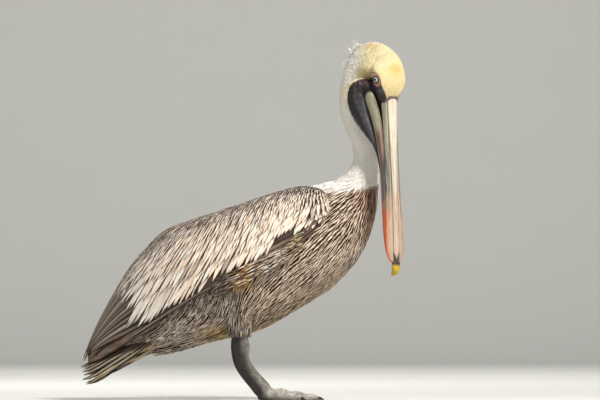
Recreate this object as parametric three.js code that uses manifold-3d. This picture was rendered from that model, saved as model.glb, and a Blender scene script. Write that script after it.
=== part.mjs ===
// Brown pelican, still life-size model. Millimetres, +Z up, facing +X.
import * as THREE from "three";
import Module from "manifold-3d";

const wasm = await Module();
wasm.setup();
const { Manifold, Mesh } = wasm;

// ---- driving dimensions -------------------------------------------------
const PART_GAP = 0.3; // parting between neighbouring nodes
const HEAD_YAW = 57; // degrees, head turned to its right
const EYE_MID = [252.4, -70, 556]; // point midway between the eyes
const EYE_RADIUS = 7.5;
const EYE_SETBACK = 24; // eye centre from the middle plane of the head
const BILL_START = 30; // along the bill, from the eye line
const BILL_END = 319;
const STANCE = 45; // each leg from the middle plane
const FAR_LEG_BACK = 5; // left leg stands this much further back
const TOE_IN = 14; // degrees, toes turned outward from +X
const WING_SPLIT = [0.87, 0.71]; // where primaries begin: top edge, lower edge
const TRUNK_END = 0.592; // along the spine, 0 tail root to 1 forehead
const NECK_SPLIT = 0.748;
const HEAD_START = 0.907;

// spine rows: x y z, half-depth up and down, half-width, yaw
const SPINE = [
  [-214, 0, 84, 16, 14, 20, 0],
  [-181, 0, 102, 46, 29, 30, 0],
  [-146, 0, 120, 84, 44, 45, 0],
  [-94, 0, 154, 116, 65, 64, 0],
  [-32, 0, 200, 131, 98, 82, 0],
  [32, 0, 244, 106, 106, 90, 0],
  [99, 0, 273, 98, 96, 87, 0],
  [148, 0, 308, 82, 81, 76, 0],
  [179, 0, 340, 60, 60, 59, 0],
  [201, 0, 374, 37, 39, 39, 0],
  [213, -1, 406, 26, 27, 28, 0],
  [214, -4, 434, 23, 23, 23.5, 3],
  [209, -9, 457, 23, 23, 23, 8],
  [197.5, -16, 484, 23, 23, 23, 14],
  [190.5, -23, 514, 24, 24, 23.5, 20],
  [191, -30, 543, 23, 24, 25, 28],
  [200, -38, 569, 25, 25, 27, 36],
  [217, -46, 585, 36, 28, 29, 44],
  [236, -56, 588, 34, 27, 28, 52],
  [248, -64, 581, 19, 20, 21, 57],
];

// head rows along the bill axis: b, centre f, half-depth front, back, half-width
const HEAD = [
  [-66, -34, 4, 8, 5],
  [-61, -31, 15, 12, 14],
  [-52, -23, 23, 20, 21.5],
  [-38, -11, 25.5, 25, 26.5],
  [-22, -3, 26, 27, 29],
  [-5, 1, 25, 28, 30],
  [10, 1, 22.5, 27, 27.5],
  [24, 0, 19, 24, 22.5],
  [35, -2, 16, 19, 17.5],
  [42, -3, 9, 12, 9],
];

// upper bill rows: b, ridge f, height, half-width at the edge, half-width of ridge
const UPPER = [
  [30, 12.6, 16.6, 13.8, 9.6],
  [50, 14.2, 15, 13.3, 8.9],
  [85, 15.8, 13, 13, 7.8],
  [120, 17.5, 10.7, 13, 6.8],
  [155, 19.3, 9.4, 13.8, 6.2],
  [190, 21, 8.5, 14.8, 5.8],
  [236, 23, 7.5, 16.9, 5.2],
  [280, 24.6, 6.5, 18.2, 5],
  [300, 25.2, 6, 16.8, 5],
  [311, 25.4, 6, 13.2, 4.8],
  [319, 25.4, 6, 8.6, 4.6],
];

// lower bill branch rows: b, distance from middle, top f, bottom f, thickness
const BRANCH = [
  [17, 27.5, -9, -34, 5],
  [35, 23.2, -6, -34, 6],
  [61, 17.2, -1.2, -28.5, 6],
  [90, 14.2, 2.3, -20, 5.6],
  [122, 13.2, 6, -12, 5],
  [157, 13.2, 9, -6, 4.6],
  [192, 14, 11.6, -1, 4.4],
  [236, 15.6, 14.7, 5, 4],
  [271, 16.4, 16.9, 10.5, 4],
  [297, 13.4, 18.3, 13, 4],
  [311, 7.5, 18.9, 13.6, 4],
  [317, 2.2, 19, 14, 4],
];

// nail rows: b, f, half-depth, half-width
const NAIL = [
  [319.4, 23, 3.6, 8],
  [325, 22.8, 4.8, 7.8],
  [331, 20.6, 5.4, 6.4],
  [336, 17, 4.4, 4.6],
  [339, 13.4, 2, 2.2],
];

// throat pouch rows, level slices: b, x, y, yaw, half-length, half-width
const POUCH = [
  [-4, 208, -48, 32, 10, 12],
  [4, 210, -47, 32, 24, 23],
  [14, 211, -46, 31, 28, 26],
  [30, 211, -44, 30, 29, 27],
  [45, 213, -42, 29, 28.5, 26],
  [60, 217, -43, 30, 26, 24],
  [75, 222, -46, 33, 23, 22],
  [90, 228, -50, 38, 18.5, 19],
  [105, 235, -55, 45, 13, 16.5],
  [120, 241, -59, 52, 9, 14.5],
  [140, 245.5, -63, 57, 6, 13],
  [165, 248.5, -67, 57, 4.4, 12.6],
  [200, 251.5, -71, 57, 3, 12.8],
  [250, 257, -79.5, 57, 2.2, 14.4],
  [285, 260, -84, 57, 2, 13],
  [302, 261, -86, 57, 1.6, 8],
];

// wing rows: u, top edge x z, lower edge x z, top y, widest y, thickness
const WING = [
  [0, 148, 348, 149, 333, 66, 78, 4],
  [0.035, 137, 366, 139, 308, 46, 88, 10],
  [0.12, 104, 373, 98, 268, 34, 97, 14],
  [0.24, 60, 364, 46, 238, 28, 101, 14],
  [0.38, 5, 346, -20, 206, 22, 99, 14],
  [0.5, -50, 328, -76, 178, 14, 91, 12],
  [0.6, -94, 314, -124, 148, 8, 79, 11],
  [0.69, -135, 298, -164, 122, 3, 66, 9],
  [0.77, -172, 263, -196, 104, 1.6, 55, 8],
  [0.84, -204, 223, -226, 87, 1.5, 45, 7],
  [0.9, -232, 175, -250, 74, 1.5, 35, 6],
  [0.96, -259, 121, -268, 64, 1.5, 25, 5],
  [1, -282, 62, -281, 54, 1.5, 15, 4],
];

// tail rows: x, z at the middle, half-width, droop of the outer edge, thickness
const TAIL = [
  [-140, 139, 26, 10, 24],
  [-172, 121, 34, 19, 18],
  [-205, 103, 42, 25, 11],
  [-240, 83, 48, 27, 6.5],
  [-266, 68, 50, 28, 4.5],
  [-283, 58, 45, 24, 2.6],
];

// shank rows from ankle down: x, z, half-depth, half-width
const SHANK = [
  [-4, 112, 12, 10],
  [-4, 102, 13.5, 11],
  [-3, 92, 14.5, 11.5],
  [-3, 78, 13, 9.5],
  [2, 62, 13, 8.5],
  [13, 45, 13, 8.5],
  [26, 30, 13.5, 10],
  [36, 18, 14, 13],
  [42, 8, 13, 13],
];

// toes: angle outward from the foot's own axis, reach, root half-width and half-height
const TOES = [
  { name: "middle", angle: 2, reach: 94, wide: 9, high: 13 },
  { name: "outer", angle: 31, reach: 86, wide: 8, high: 12 },
  { name: "inner", angle: -27, reach: 74, wide: 8, high: 12 },
  { name: "hind", angle: -92, reach: 34, wide: 6, high: 8 },
];
const CLAW_REACH = 13;
const WEB_THICK = 3;
const FOOT_ROOT = [42, 0]; // where the toes spring from, in x, before the stance offset

// ---- small helpers --------------------------------------------------------
const rad = (deg) => (deg * Math.PI) / 180;
const lerp = (a, b, t) => a + (b - a) * t;
const add = (a, b, k = 1) => a.map((v, i) => v + k * b[i]);
const dot = (a, b) => a[0] * b[0] + a[1] * b[1] + a[2] * b[2];
const cross = (a, b) => [
  a[1] * b[2] - a[2] * b[1],
  a[2] * b[0] - a[0] * b[2],
  a[0] * b[1] - a[1] * b[0],
];
const unit = (a) => add([0, 0, 0], a, 1 / Math.hypot(...a));
const span = (a, b, n) => Array.from({ length: n }, (_, i) => lerp(a, b, i / (n - 1)));

// smooth curve through table rows whose first column is the parameter
function sample(rows, t) {
  const last = rows.length - 1;
  const at = Math.min(Math.max(t, rows[0][0]), rows[last][0]);
  let i = 0;
  while (i < last - 1 && at >= rows[i + 1][0]) i += 1;
  const slope = (j, c) => {
    const lo = Math.max(j - 1, 0);
    const hi = Math.min(j + 1, last);
    return (rows[hi][c] - rows[lo][c]) / (rows[hi][0] - rows[lo][0]);
  };
  const h = rows[i + 1][0] - rows[i][0];
  const s = (at - rows[i][0]) / h;
  return rows[i].slice(1).map((_, k) => {
    const c = k + 1;
    return (
      (1 + 2 * s) * (1 - s) ** 2 * rows[i][c] +
      s * (1 - s) ** 2 * h * slope(i, c) +
      s * s * (3 - 2 * s) * rows[i + 1][c] +
      s * s * (s - 1) * h * slope(i + 1, c)
    );
  });
}

// prefix rows with their arc length, scaled 0 to 1
function byLength(rows) {
  const run = [0];
  rows.slice(1).forEach((r, i) => {
    run.push(run[i] + Math.hypot(r[0] - rows[i][0], r[1] - rows[i][1], r[2] - rows[i][2]));
  });
  return rows.map((r, i) => [run[i] / run[run.length - 1], ...r]);
}

function solid(points, faces) {
  const mesh = new Mesh({
    numProp: 3,
    vertProperties: new Float32Array(points.flat()),
    triVerts: new Uint32Array(faces.flat()),
  });
  const made = new Manifold(mesh);
  return made.volume() < 0
    ? new Manifold(new Mesh({
        numProp: 3,
        vertProperties: mesh.vertProperties,
        triVerts: new Uint32Array(faces.map((f) => [f[0], f[2], f[1]]).flat()),
      }))
    : made;
}

// closed skin over rings of equal point count, ends closed by fans, or by strips where a ring is a plate's outline
function loft(rings, flat = false) {
  const n = rings[0].length;
  const points = rings.flat();
  const faces = [];
  for (let i = 0; i < rings.length - 1; i += 1) {
    for (let j = 0; j < n; j += 1) {
      const a = i * n + j;
      const b = i * n + ((j + 1) % n);
      faces.push([a, b, b + n], [a, b + n, a + n]);
    }
  }
  const base = (rings.length - 1) * n;
  if (flat) {
    for (let j = 0; j < n / 2 - 1; j += 1) {
      const [p, q, r, s] = [j, j + 1, n - 2 - j, n - 1 - j];
      faces.push([p, r, q], [p, s, r], [base + p, base + q, base + r], [base + p, base + r, base + s]);
    }
    return solid(points, faces);
  }
  const middle = (ring) => ring.reduce((s, p) => add(s, p, 1 / n), [0, 0, 0]);
  const first = points.length;
  points.push(middle(rings[0]), middle(rings[rings.length - 1]));
  for (let j = 0; j < n; j += 1) {
    const k = (j + 1) % n;
    faces.push([first, k, j], [first + 1, base + j, base + k]);
  }
  return solid(points, faces);
}

// closed plate between an outer and an inner grid of the same size
function plate(outer, inner) {
  const rings = outer.map((row, i) => [...row, ...[...inner[i]].reverse()]);
  return loft(rings, true);
}

function circle(count, put) {
  return span(0, 2 * Math.PI, count + 1).slice(0, count).map((a) => put(Math.cos(a), Math.sin(a)));
}

// the same solid, every face moved outward by about d
function grown(body, d = PART_GAP) {
  const m = body.getMesh();
  const n = m.numProp;
  const v = m.vertProperties;
  const count = v.length / n;
  const sum = Array.from({ length: count }, () => [0, 0, 0]);
  const touching = Array.from({ length: count }, () => []);
  const at = (i) => [v[i * n], v[i * n + 1], v[i * n + 2]];
  for (let t = 0; t < m.triVerts.length; t += 3) {
    const ids = [m.triVerts[t], m.triVerts[t + 1], m.triVerts[t + 2]];
    const [a, b, c] = ids.map(at);
    const face = cross(add(b, a, -1), add(c, a, -1));
    ids.forEach((i, k) => {
      const p = at(i);
      const q = at(ids[(k + 1) % 3]);
      const r = at(ids[(k + 2) % 3]);
      const e = unit(add(q, p, -1));
      const g = unit(add(r, p, -1));
      const corner = Math.acos(Math.min(1, Math.max(-1, dot(e, g))));
      sum[i] = add(sum[i], unit(face), corner);
      touching[i].push(unit(face));
    });
  }
  const moved = new Float32Array(v);
  for (let i = 0; i < count; i += 1) {
    const dir = unit(sum[i]);
    const reach = d / Math.max(0.45, Math.min(...touching[i].map((f) => dot(f, dir))));
    for (let k = 0; k < 3; k += 1) moved[i * n + k] = v[i * n + k] + reach * dir[k];
  }
  return new Manifold(new Mesh({ numProp: n, vertProperties: moved, triVerts: m.triVerts }));
}

const parted = (body, ...others) => others.reduce((s, o) => s.subtract(grown(o)), body);

// thin plates: cut with copies moved a little along each axis
function shiftCut(body, tool) {
  const steps = [[0, 0, 0], [1, 0, 0], [-1, 0, 0], [0, 1, 0], [0, -1, 0], [0, 0, 1], [0, 0, -1]];
  return steps.reduce((s, k) => s.subtract(tool.translate(k.map((v) => v * PART_GAP))), body);
}

function largest(body) {
  const pieces = body.decompose();
  return pieces.reduce((a, b) => (b.volume() > a.volume() ? b : a));
}

const lighter = (body) => largest(largest(body).asOriginal().simplify(PART_GAP / 3));

// ---- spine-built trunk and neck --------------------------------------------
const SPINE_RUN = byLength(SPINE);

function spineRing(s, count) {
  const [x, y, z, up, down, half, yaw] = sample(SPINE_RUN, s);
  const ahead = sample(SPINE_RUN, Math.min(s + 1e-3, 1));
  const behind = sample(SPINE_RUN, Math.max(s - 1e-3, 0));
  const along = unit(add(ahead.slice(0, 3), behind.slice(0, 3), -1));
  const flat = [Math.sin(rad(yaw)), Math.cos(rad(yaw)), 0];
  const left = unit(add(flat, along, -dot(flat, along)));
  const back = cross(along, left);
  return circle(count, (c, q) => {
    const out = add([x, y, z], left, half * q);
    return add(out, back, (c > 0 ? up : down) * c);
  });
}

function spinePiece(from, to, rows, count) {
  return loft(span(from, to, rows).map((s) => spineRing(s, count)));
}

const spineLength = SPINE.slice(1).reduce(
  (sum, r, i) => sum + Math.hypot(r[0] - SPINE[i][0], r[1] - SPINE[i][1], r[2] - SPINE[i][2]),
  0,
);
const halfGap = PART_GAP / 2 / spineLength;

// ---- head frame -----------------------------------------------------------
const FRONT = [Math.cos(rad(HEAD_YAW)), -Math.sin(rad(HEAD_YAW)), 0];
const LEFT = [Math.sin(rad(HEAD_YAW)), Math.cos(rad(HEAD_YAW)), 0];
const ALONG = [0, 0, -1];

function headPoint(b, f, l) {
  return add(add(add(EYE_MID, ALONG, b), FRONT, f), LEFT, l);
}

function headSolid() {
  const stations = [-66, -64, -60, -54, -44, -31, -16, 0, 14, 26, 36, 42];
  return loft(stations.map((b) => {
    const [f0, front, back, half] = sample(HEAD, b);
    return circle(16, (c, q) => headPoint(b, f0 + (c > 0 ? front : back) * c, half * q));
  }));
}

function upperBill() {
  const stations = [30, 50, 75, 110, 150, 190, 236, 272, 295, 307, 319];
  return loft(stations.map((b) => {
    const [ridge, high, half, rib] = sample(UPPER, b);
    const side = [
      [ridge, rib * 0.45],
      [ridge - 0.8, rib],
      [ridge - 2.2, rib + 0.6],
      [ridge - 1.9, Math.min(rib + 1.8, half * 0.8)],
      [ridge - high * 0.55, half * 0.93],
      [ridge - high + 0.6, half],
      [ridge - high, half - 0.8],
      [ridge - high + 1.2, half * 0.4],
    ];
    const other = [...side].reverse().map(([f, l]) => [f, -l]);
    return [...side, ...other].map(([f, l]) => headPoint(b, f, l));
  }));
}

function billNail() {
  return loft(NAIL.map(([b, f, deep, half]) =>
    circle(10, (c, q) => headPoint(b + 1.2 * c * deep * 0.3, f + deep * c, half * q))));
}

function lowerBill() {
  const stations = [17, 26, 38, 52, 68, 90, 115, 145, 192, 240, 285, 303, 311, 317];
  const branch = (side) => loft(stations.map((b) => {
    const [off, top, bottom, thick] = sample(BRANCH, b);
    const mid = (top + bottom) / 2;
    const tall = (top - bottom) / 2;
    return circle(8, (c, q) => headPoint(
      b,
      mid + tall * Math.sign(c) * Math.abs(c) ** 0.7,
      side * (off + (thick / 2) * Math.sign(q) * Math.abs(q) ** 0.7),
    ));
  }));
  const bridge = loft([303, 310, 317.5].map((b) => {
    const [off, top, bottom] = sample(BRANCH, b);
    return circle(10, (c, q) => headPoint(
      b,
      (top + bottom) / 2 + (top - bottom) * 0.42 * c,
      (off + 0.5) * q,
    ));
  }));
  return lighter(branch(1).add(branch(-1)).add(bridge));
}

function throatPouch() {
  const stations = [-4, 0, 8, 20, 36, 52, 66, 80, 94, 108, 122, 145, 200, 260, 302];
  return loft(stations.map((b) => {
    const [x, y, yaw, long, half] = sample(POUCH, b);
    const fore = [Math.cos(rad(yaw)), -Math.sin(rad(yaw)), 0];
    const side = [Math.sin(rad(yaw)), Math.cos(rad(yaw)), 0];
    return circle(14, (c, q) => {
      const centre = [x, y, EYE_MID[2] - b];
      return add(add(centre, fore, long * c), side, half * q);
    });
  }));
}

function eyeball(side) {
  const [x, y, z] = headPoint(0, 2, side * EYE_SETBACK);
  return Manifold.sphere(EYE_RADIUS, 12).translate([x, y, z]);
}

// ---- wings and tail -------------------------------------------------------
function wingPoint(u, v, side, depth) {
  const [xt, zt, xb, zb, yt, ym] = sample(WING, u);
  const turn = (v * Math.PI) / 2;
  const across = Math.sin(turn) ** 0.85;
  const fall = 1 - Math.cos(turn) ** 0.9;
  const inY = Math.sin(turn) ** 0.8;
  const inZ = Math.cos(turn);
  return [
    lerp(xt, xb, fall),
    side * (lerp(yt, ym, across) - depth * inY),
    lerp(zt, zb, fall) - depth * inZ,
  ];
}

function wingPiece(side, starts, ends, rows) {
  const across = span(0, 1, 8);
  const grid = (inner) => span(0, 1, rows).map((s) => across.map((v) => {
    const u = lerp(lerp(starts[0], starts[1], v), lerp(ends[0], ends[1], v), s);
    const thick = sample(WING, u)[6];
    const edge = Math.min(1, 6 * (1 - v) + 0.16, 8 * v + 0.35);
    return wingPoint(u, v, side, inner ? thick * edge : 0);
  }));
  return plate(grid(false), grid(true));
}

function tailSolid() {
  const across = span(-1, 1, 9);
  const stations = [-140, -172, -205, -240, -266, -283];
  const grid = (lower) => stations.map((x) => {
    const [z, half, droop, thick] = sample([...TAIL].reverse(), x);
    return across.map((k) => {
      const edge = 1 - 0.7 * Math.abs(k) ** 3;
      return [x + 10 * k * k, half * k, z - droop * k * k - (lower ? thick * edge : 0)];
    });
  });
  return plate(grid(false), grid(true));
}

// ---- legs and feet --------------------------------------------------------
function shank(side) {
  const back = side > 0 ? -FAR_LEG_BACK : 0;
  return loft(SHANK.map(([x, z, deep, half], i) => {
    const lo = SHANK[Math.max(i - 1, 0)];
    const hi = SHANK[Math.min(i + 1, SHANK.length - 1)];
    const run = unit([hi[0] - lo[0], 0, hi[1] - lo[1]]);
    const fore = [-run[2], 0, run[0]];
    return circle(10, (c, q) => add([x + back, side * STANCE + half * q, z], fore, deep * c));
  }));
}

function toePath(toe, side) {
  const turn = rad(toe.angle + TOE_IN) * side;
  const back = side > 0 ? -FAR_LEG_BACK : 0;
  const root = [FOOT_ROOT[0] + back, side * STANCE, 0];
  const dir = [Math.cos(turn), Math.sin(turn), 0];
  return { root, dir, cross: [-dir[1], dir[0], 0] };
}

function toeBody(toe, side) {
  const { root, dir, cross: wide } = toePath(toe, side);
  const stops = [-0.12, 0.05, 0.25, 0.44, 0.62, 0.8, 0.92, 1];
  return loft(stops.map((t) => {
    const bulge = 1 + 0.08 * Math.cos(2 * Math.PI * 3.1 * t);
    const k = Math.max(0.32, 1 - 0.62 * t) * bulge * (t >= 1 ? 0.55 : 1);
    const w = toe.wide * k;
    const h = toe.high * k * (t < 0 ? 0.8 : 1);
    const centre = add([root[0], root[1], h * 0.82], dir, toe.reach * t);
    return circle(8, (c, q) => add(add(centre, wide, w * q), [0, 0, 1], h * c));
  }));
}

function claw(toe, side) {
  const { root, dir, cross: wide } = toePath(toe, side);
  const rows = [[0.15, 4.2, 3.6, 2.7], [0.35, 4.4, 3.1, 2.3], [0.7, 3.4, 2, 1.5], [1, 1.3, 0.6, 0.5]];
  return loft(rows.map(([t, z, h, w]) => {
    const centre = add([root[0], root[1], z], dir, toe.reach + CLAW_REACH * (t - 0.3));
    return circle(6, (c, q) => add(add(centre, wide, w * q), [0, 0, 1], h * c));
  }));
}

// web: a thin sheet between two neighbouring toes, its free edge curved in
function web(first, second, side) {
  const a = toePath(first, side);
  const b = toePath(second, side);
  const grid = (lift) => span(0.03, 0.93, 4).map((t) => span(0, 1, 5).map((k) => {
    const hollow = 1 - 0.34 * k * (1 - k);
    const p = add(a.root, a.dir, first.reach * t * hollow);
    const q = add(b.root, b.dir, second.reach * t * hollow);
    const rise = lerp(9, 1.2, t) * (1 - 0.35 * Math.sin(Math.PI * k));
    return [lerp(p[0], q[0], k), lerp(p[1], q[1], k), rise + (lift ? WEB_THICK : -1)];
  }));
  return plate(grid(true), grid(false));
}

function foot(side) {
  const toes = TOES.map((toe) => toeBody(toe, side));
  const [middle, outer, inner, hind] = TOES;
  const webs = [web(middle, outer, side), web(inner, middle, side), web(hind, inner, side)];
  const whole = [...toes, ...webs].reduce((s, t) => s.add(t));
  const above = Manifold.cube([400, 400, 80], true).translate([60, side * STANCE, 40]);
  return whole.intersect(above).asOriginal().simplify(PART_GAP);
}

function thigh(side) {
  const back = side > 0 ? -FAR_LEG_BACK : 0;
  const rows = [[-12, 160, 27, 20], [-10, 138, 26, 19], [-7, 122, 21, 17], [-5, 112, 17, 14], [-4, 104, 13, 11.5]];
  return loft(rows.map(([x, z, deep, half]) =>
    circle(12, (c, q) => [x + back + deep * c, side * (STANCE + 2) + half * q, z])));
}

// ---- assembly -------------------------------------------------------------
const wings = {};
const primaries = {};
const eyes = {};
const shanks = {};
const feet = {};
const thighs = {};
const claws = {};
for (const [label, side] of [["right", -1], ["left", 1]]) {
  const cut = 0.0006;
  const rest = WING_SPLIT.map((u) => u + cut);
  wings[label] = wingPiece(side, [0, 0], WING_SPLIT, 16);
  primaries[label] = wingPiece(side, rest, [1, 1], 7);
  eyes[label] = eyeball(side);
  feet[label] = foot(side);
  shanks[label] = shank(side);
  thighs[label] = thigh(side);
  for (const toe of TOES) claws[`${label}_${toe.name}`] = claw(toe, side);
}

const upper = upperBill();
const nail = largest(parted(billNail(), upper));
const lower = largest(parted(lowerBill(), upper, nail));
const skull = headSolid().add(spinePiece(HEAD_START + halfGap, 1, 7, 16));
const headPart = lighter(parted(skull, upper, lower, eyes.right, eyes.left));
const neckUpper = spinePiece(NECK_SPLIT + halfGap, HEAD_START - halfGap, 9, 18);
const neckLower = spinePiece(TRUNK_END + halfGap, NECK_SPLIT - halfGap, 8, 22);
const upperNeckPart = lighter(parted(neckUpper, headPart, lower, upper));
const pouch = lighter(parted(throatPouch(), lower, upper, headPart, upperNeckPart, neckLower));
const tail = tailSolid();
const wingSet = [wings.right, wings.left, primaries.right, primaries.left];
const tailPart = lighter(wingSet.reduce(shiftCut, tail));
const whole = spinePiece(0, TRUNK_END - halfGap, 17, 20);
const trunk = lighter(parted(whole, ...wingSet, tailPart));
const legs = {};
for (const label of ["right", "left"]) {
  legs[label] = {
    thigh: lighter(parted(thighs[label], trunk, wings[label])),
  };
  legs[label].shank = lighter(parted(shanks[label], legs[label].thigh, trunk, feet[label]));
}

const COLOUR = {
  plumage_brown: 0x6b5546,
  wing_pale: 0xc9bcae,
  flight_dark: 0x4a413b,
  neck_white: 0xe9e4d8,
  crown_cream: 0xefe3b4,
  bill_ivory: 0xd9c6b4,
  nail_yellow: 0xd8b23c,
  branch_olive: 0xb9ab7c,
  pouch_slate: 0x35312f,
  eye_pale: 0xcfd8da,
  leg_grey: 0x5a5552,
  claw_dark: 0x2b2826,
};

function toMesh(name, body, colour) {
  const m = body.getMesh();
  const flat = new Float32Array((m.vertProperties.length / m.numProp) * 3);
  for (let i = 0; i < flat.length / 3; i += 1) {
    for (let k = 0; k < 3; k += 1) flat[i * 3 + k] = m.vertProperties[i * m.numProp + k];
  }
  const geometry = new THREE.BufferGeometry();
  geometry.setAttribute("position", new THREE.BufferAttribute(flat, 3));
  geometry.setIndex([...m.triVerts]);
  geometry.computeVertexNormals();
  const material = new THREE.MeshStandardMaterial({ color: COLOUR[colour], roughness: 0.8 });
  material.name = colour;
  const mesh = new THREE.Mesh(geometry, material);
  mesh.name = name;
  return mesh;
}

const pelican = new THREE.Group();
pelican.name = "brown_pelican";
const parts = [
  ["head", headPart, "crown_cream"],
  ["eye_right", eyes.right, "eye_pale"],
  ["eye_left", eyes.left, "eye_pale"],
  ["upper_bill", upper, "bill_ivory"],
  ["bill_nail", nail, "nail_yellow"],
  ["lower_bill", lower, "branch_olive"],
  ["pouch", pouch, "pouch_slate"],
  ["neck_upper", upperNeckPart, "neck_white"],
  ["neck_lower", neckLower, "neck_white"],
  ["trunk", trunk, "plumage_brown"],
  ["wing_right", wings.right, "wing_pale"],
  ["wing_left", wings.left, "wing_pale"],
  ["primaries_right", primaries.right, "flight_dark"],
  ["primaries_left", primaries.left, "flight_dark"],
  ["tail", tailPart, "flight_dark"],
];
for (const label of ["right", "left"]) {
  parts.push([`thigh_${label}`, legs[label].thigh, "plumage_brown"]);
  parts.push([`shank_${label}`, legs[label].shank, "leg_grey"]);
  const own = TOES.map((toe) => claws[`${label}_${toe.name}`]);
  parts.push([`foot_${label}`, largest(parted(feet[label], ...own)), "leg_grey"]);
  TOES.forEach((toe, i) => parts.push([`claw_${label}_${toe.name}`, own[i], "claw_dark"]));
}
for (const [name, body, colour] of parts) pelican.add(toMesh(name, body, colour));

export default pelican;
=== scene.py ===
"""Brown pelican, a still life-size model: one skin, horn, eyes and a coat of solid vanes.

Lengths in the tables are millimetres in the row frame: +X ahead, +Y to the bird's left, +Z up.
"""

import math

import bpy
import numpy as np
from bpy.types import Operator, Panel, PropertyGroup
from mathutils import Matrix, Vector


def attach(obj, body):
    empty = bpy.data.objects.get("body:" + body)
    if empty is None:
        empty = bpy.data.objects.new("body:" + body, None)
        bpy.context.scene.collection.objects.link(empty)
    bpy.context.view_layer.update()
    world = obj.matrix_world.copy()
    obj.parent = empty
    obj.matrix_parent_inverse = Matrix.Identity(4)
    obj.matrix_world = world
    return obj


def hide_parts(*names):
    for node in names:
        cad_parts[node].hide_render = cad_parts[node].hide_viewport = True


bl_info = {
    "name": "Brown pelican",
    "version": (1, 0, 0),
    "blender": (4, 5, 0),
    "location": "3D View > Sidebar > Pelican",
    "description": "Builds the skin, horn, eyes and feathers of a still brown pelican",
    "category": "Object",
}

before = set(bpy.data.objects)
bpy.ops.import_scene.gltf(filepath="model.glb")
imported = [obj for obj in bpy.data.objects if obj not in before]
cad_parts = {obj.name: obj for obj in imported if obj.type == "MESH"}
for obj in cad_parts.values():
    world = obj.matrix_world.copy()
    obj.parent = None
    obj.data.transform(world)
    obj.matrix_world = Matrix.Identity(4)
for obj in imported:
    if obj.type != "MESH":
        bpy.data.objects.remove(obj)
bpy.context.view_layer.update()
MM = 0.001

# ---- tables, the same as the solids' ----

SPINE = np.array([  # x y z, half-depth up and down, half-width, yaw
    [-214, 0, 84, 16, 14, 20, 0],
    [-181, 0, 102, 46, 29, 30, 0],
    [-146, 0, 120, 84, 44, 45, 0],
    [-94, 0, 154, 116, 65, 64, 0],
    [-32, 0, 200, 131, 98, 82, 0],
    [32, 0, 244, 106, 106, 90, 0],
    [99, 0, 273, 98, 96, 87, 0],
    [148, 0, 308, 82, 81, 76, 0],
    [179, 0, 340, 60, 60, 59, 0],
    [201, 0, 374, 37, 39, 39, 0],
    [213, -1, 406, 26, 27, 28, 0],
    [214, -4, 434, 23, 23, 23.5, 3],
    [209, -9, 457, 23, 23, 23, 8],
    [197.5, -16, 484, 23, 23, 23, 14],
    [190.5, -23, 514, 24, 24, 23.5, 20],
    [191, -30, 543, 23, 24, 25, 28],
    [200, -38, 569, 25, 25, 27, 36],
    [217, -46, 585, 36, 28, 29, 44],
    [236, -56, 588, 34, 27, 28, 52],
    [248, -64, 581, 19, 20, 21, 57],
], float)

HEAD = np.array([  # b, centre f, half-depth front and back, half-width
    [-66, -34, 4, 8, 5],
    [-61, -31, 15, 12, 14],
    [-52, -23, 23, 20, 21.5],
    [-38, -11, 25.5, 25, 26.5],
    [-22, -3, 26, 27, 29],
    [-5, 1, 25, 28, 30],
    [10, 1, 22.5, 27, 27.5],
    [24, 0, 18.6, 24, 22.5],
    [35, -2, 13.6, 19, 17],
    [42, -3, 8, 12, 9],
], float)

UPPER = np.array([  # b, ridge f, height, half-width at the edge, half-width of ridge
    [22, 16.2, 21, 14.2, 9.8],
    [30, 16.0, 19.6, 14.4, 9.6],
    [38, 15.0, 17.4, 14, 9.3],
    [50, 14.2, 15, 13.3, 8.9],
    [85, 15.8, 13, 13, 7.8],
    [120, 17.5, 10.7, 13, 6.8],
    [155, 19.3, 9.4, 13.8, 6.2],
    [190, 21, 8.5, 14.8, 5.8],
    [236, 23, 7.5, 16.9, 5.2],
    [280, 24.6, 6.5, 18.2, 5],
    [300, 25.2, 6, 16.8, 5],
    [311, 25.4, 6, 13.2, 4.8],
    [319, 25.4, 6, 8.6, 4.6],
], float)

BRANCH = np.array([  # b, distance from middle, top f, bottom f, thickness
    [17, 27.5, -9, -34, 5],
    [35, 23.2, -6, -34, 6],
    [61, 17.2, -1.2, -28.5, 6],
    [90, 14.2, 2.3, -20, 5.6],
    [122, 13.2, 6, -12, 5],
    [157, 13.2, 9, -6, 4.6],
    [192, 14, 11.6, -1, 4.4],
    [236, 15.6, 14.7, 5, 4],
    [271, 16.4, 16.9, 10.5, 4],
    [297, 13.4, 18.3, 13, 4],
    [311, 7.5, 18.9, 13.6, 4],
    [317, 2.2, 19, 14, 4],
], float)

NAIL = np.array([  # b, f, half-depth, half-width
    [316, 23.4, 3.2, 7.4],
    [319.4, 23, 3.9, 8.2],
    [325, 22.8, 4.9, 8],
    [331, 20.6, 5.4, 6.5],
    [336, 17, 4.5, 4.7],
    [339, 13.4, 2.2, 2.4],
    [340, 11.6, 0.5, 0.5],
], float)

POUCH = np.array([  # level slices: b, x, y, yaw, half-length, half-width
    [-4, 208, -48, 32, 10, 12],
    [4, 210, -47, 32, 24, 23],
    [14, 211, -46, 31, 28, 26],
    [30, 211, -44, 30, 29, 27],
    [45, 213, -42, 29, 28.5, 26],
    [60, 217, -43, 30, 26, 24],
    [75, 222, -46, 33, 23, 22],
    [90, 228, -50, 38, 18.5, 19],
    [105, 235, -55, 45, 13, 16.5],
    [120, 241, -59, 52, 9, 14.5],
    [140, 245.5, -63, 57, 6, 13],
    [165, 248.5, -67, 57, 4.4, 12.6],
    [200, 251.5, -71, 57, 3, 12.8],
    [250, 257, -79.5, 57, 2.2, 14.4],
    [285, 260, -84, 57, 2, 13],
    [302, 261, -86, 57, 1.6, 8],
], float)

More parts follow.
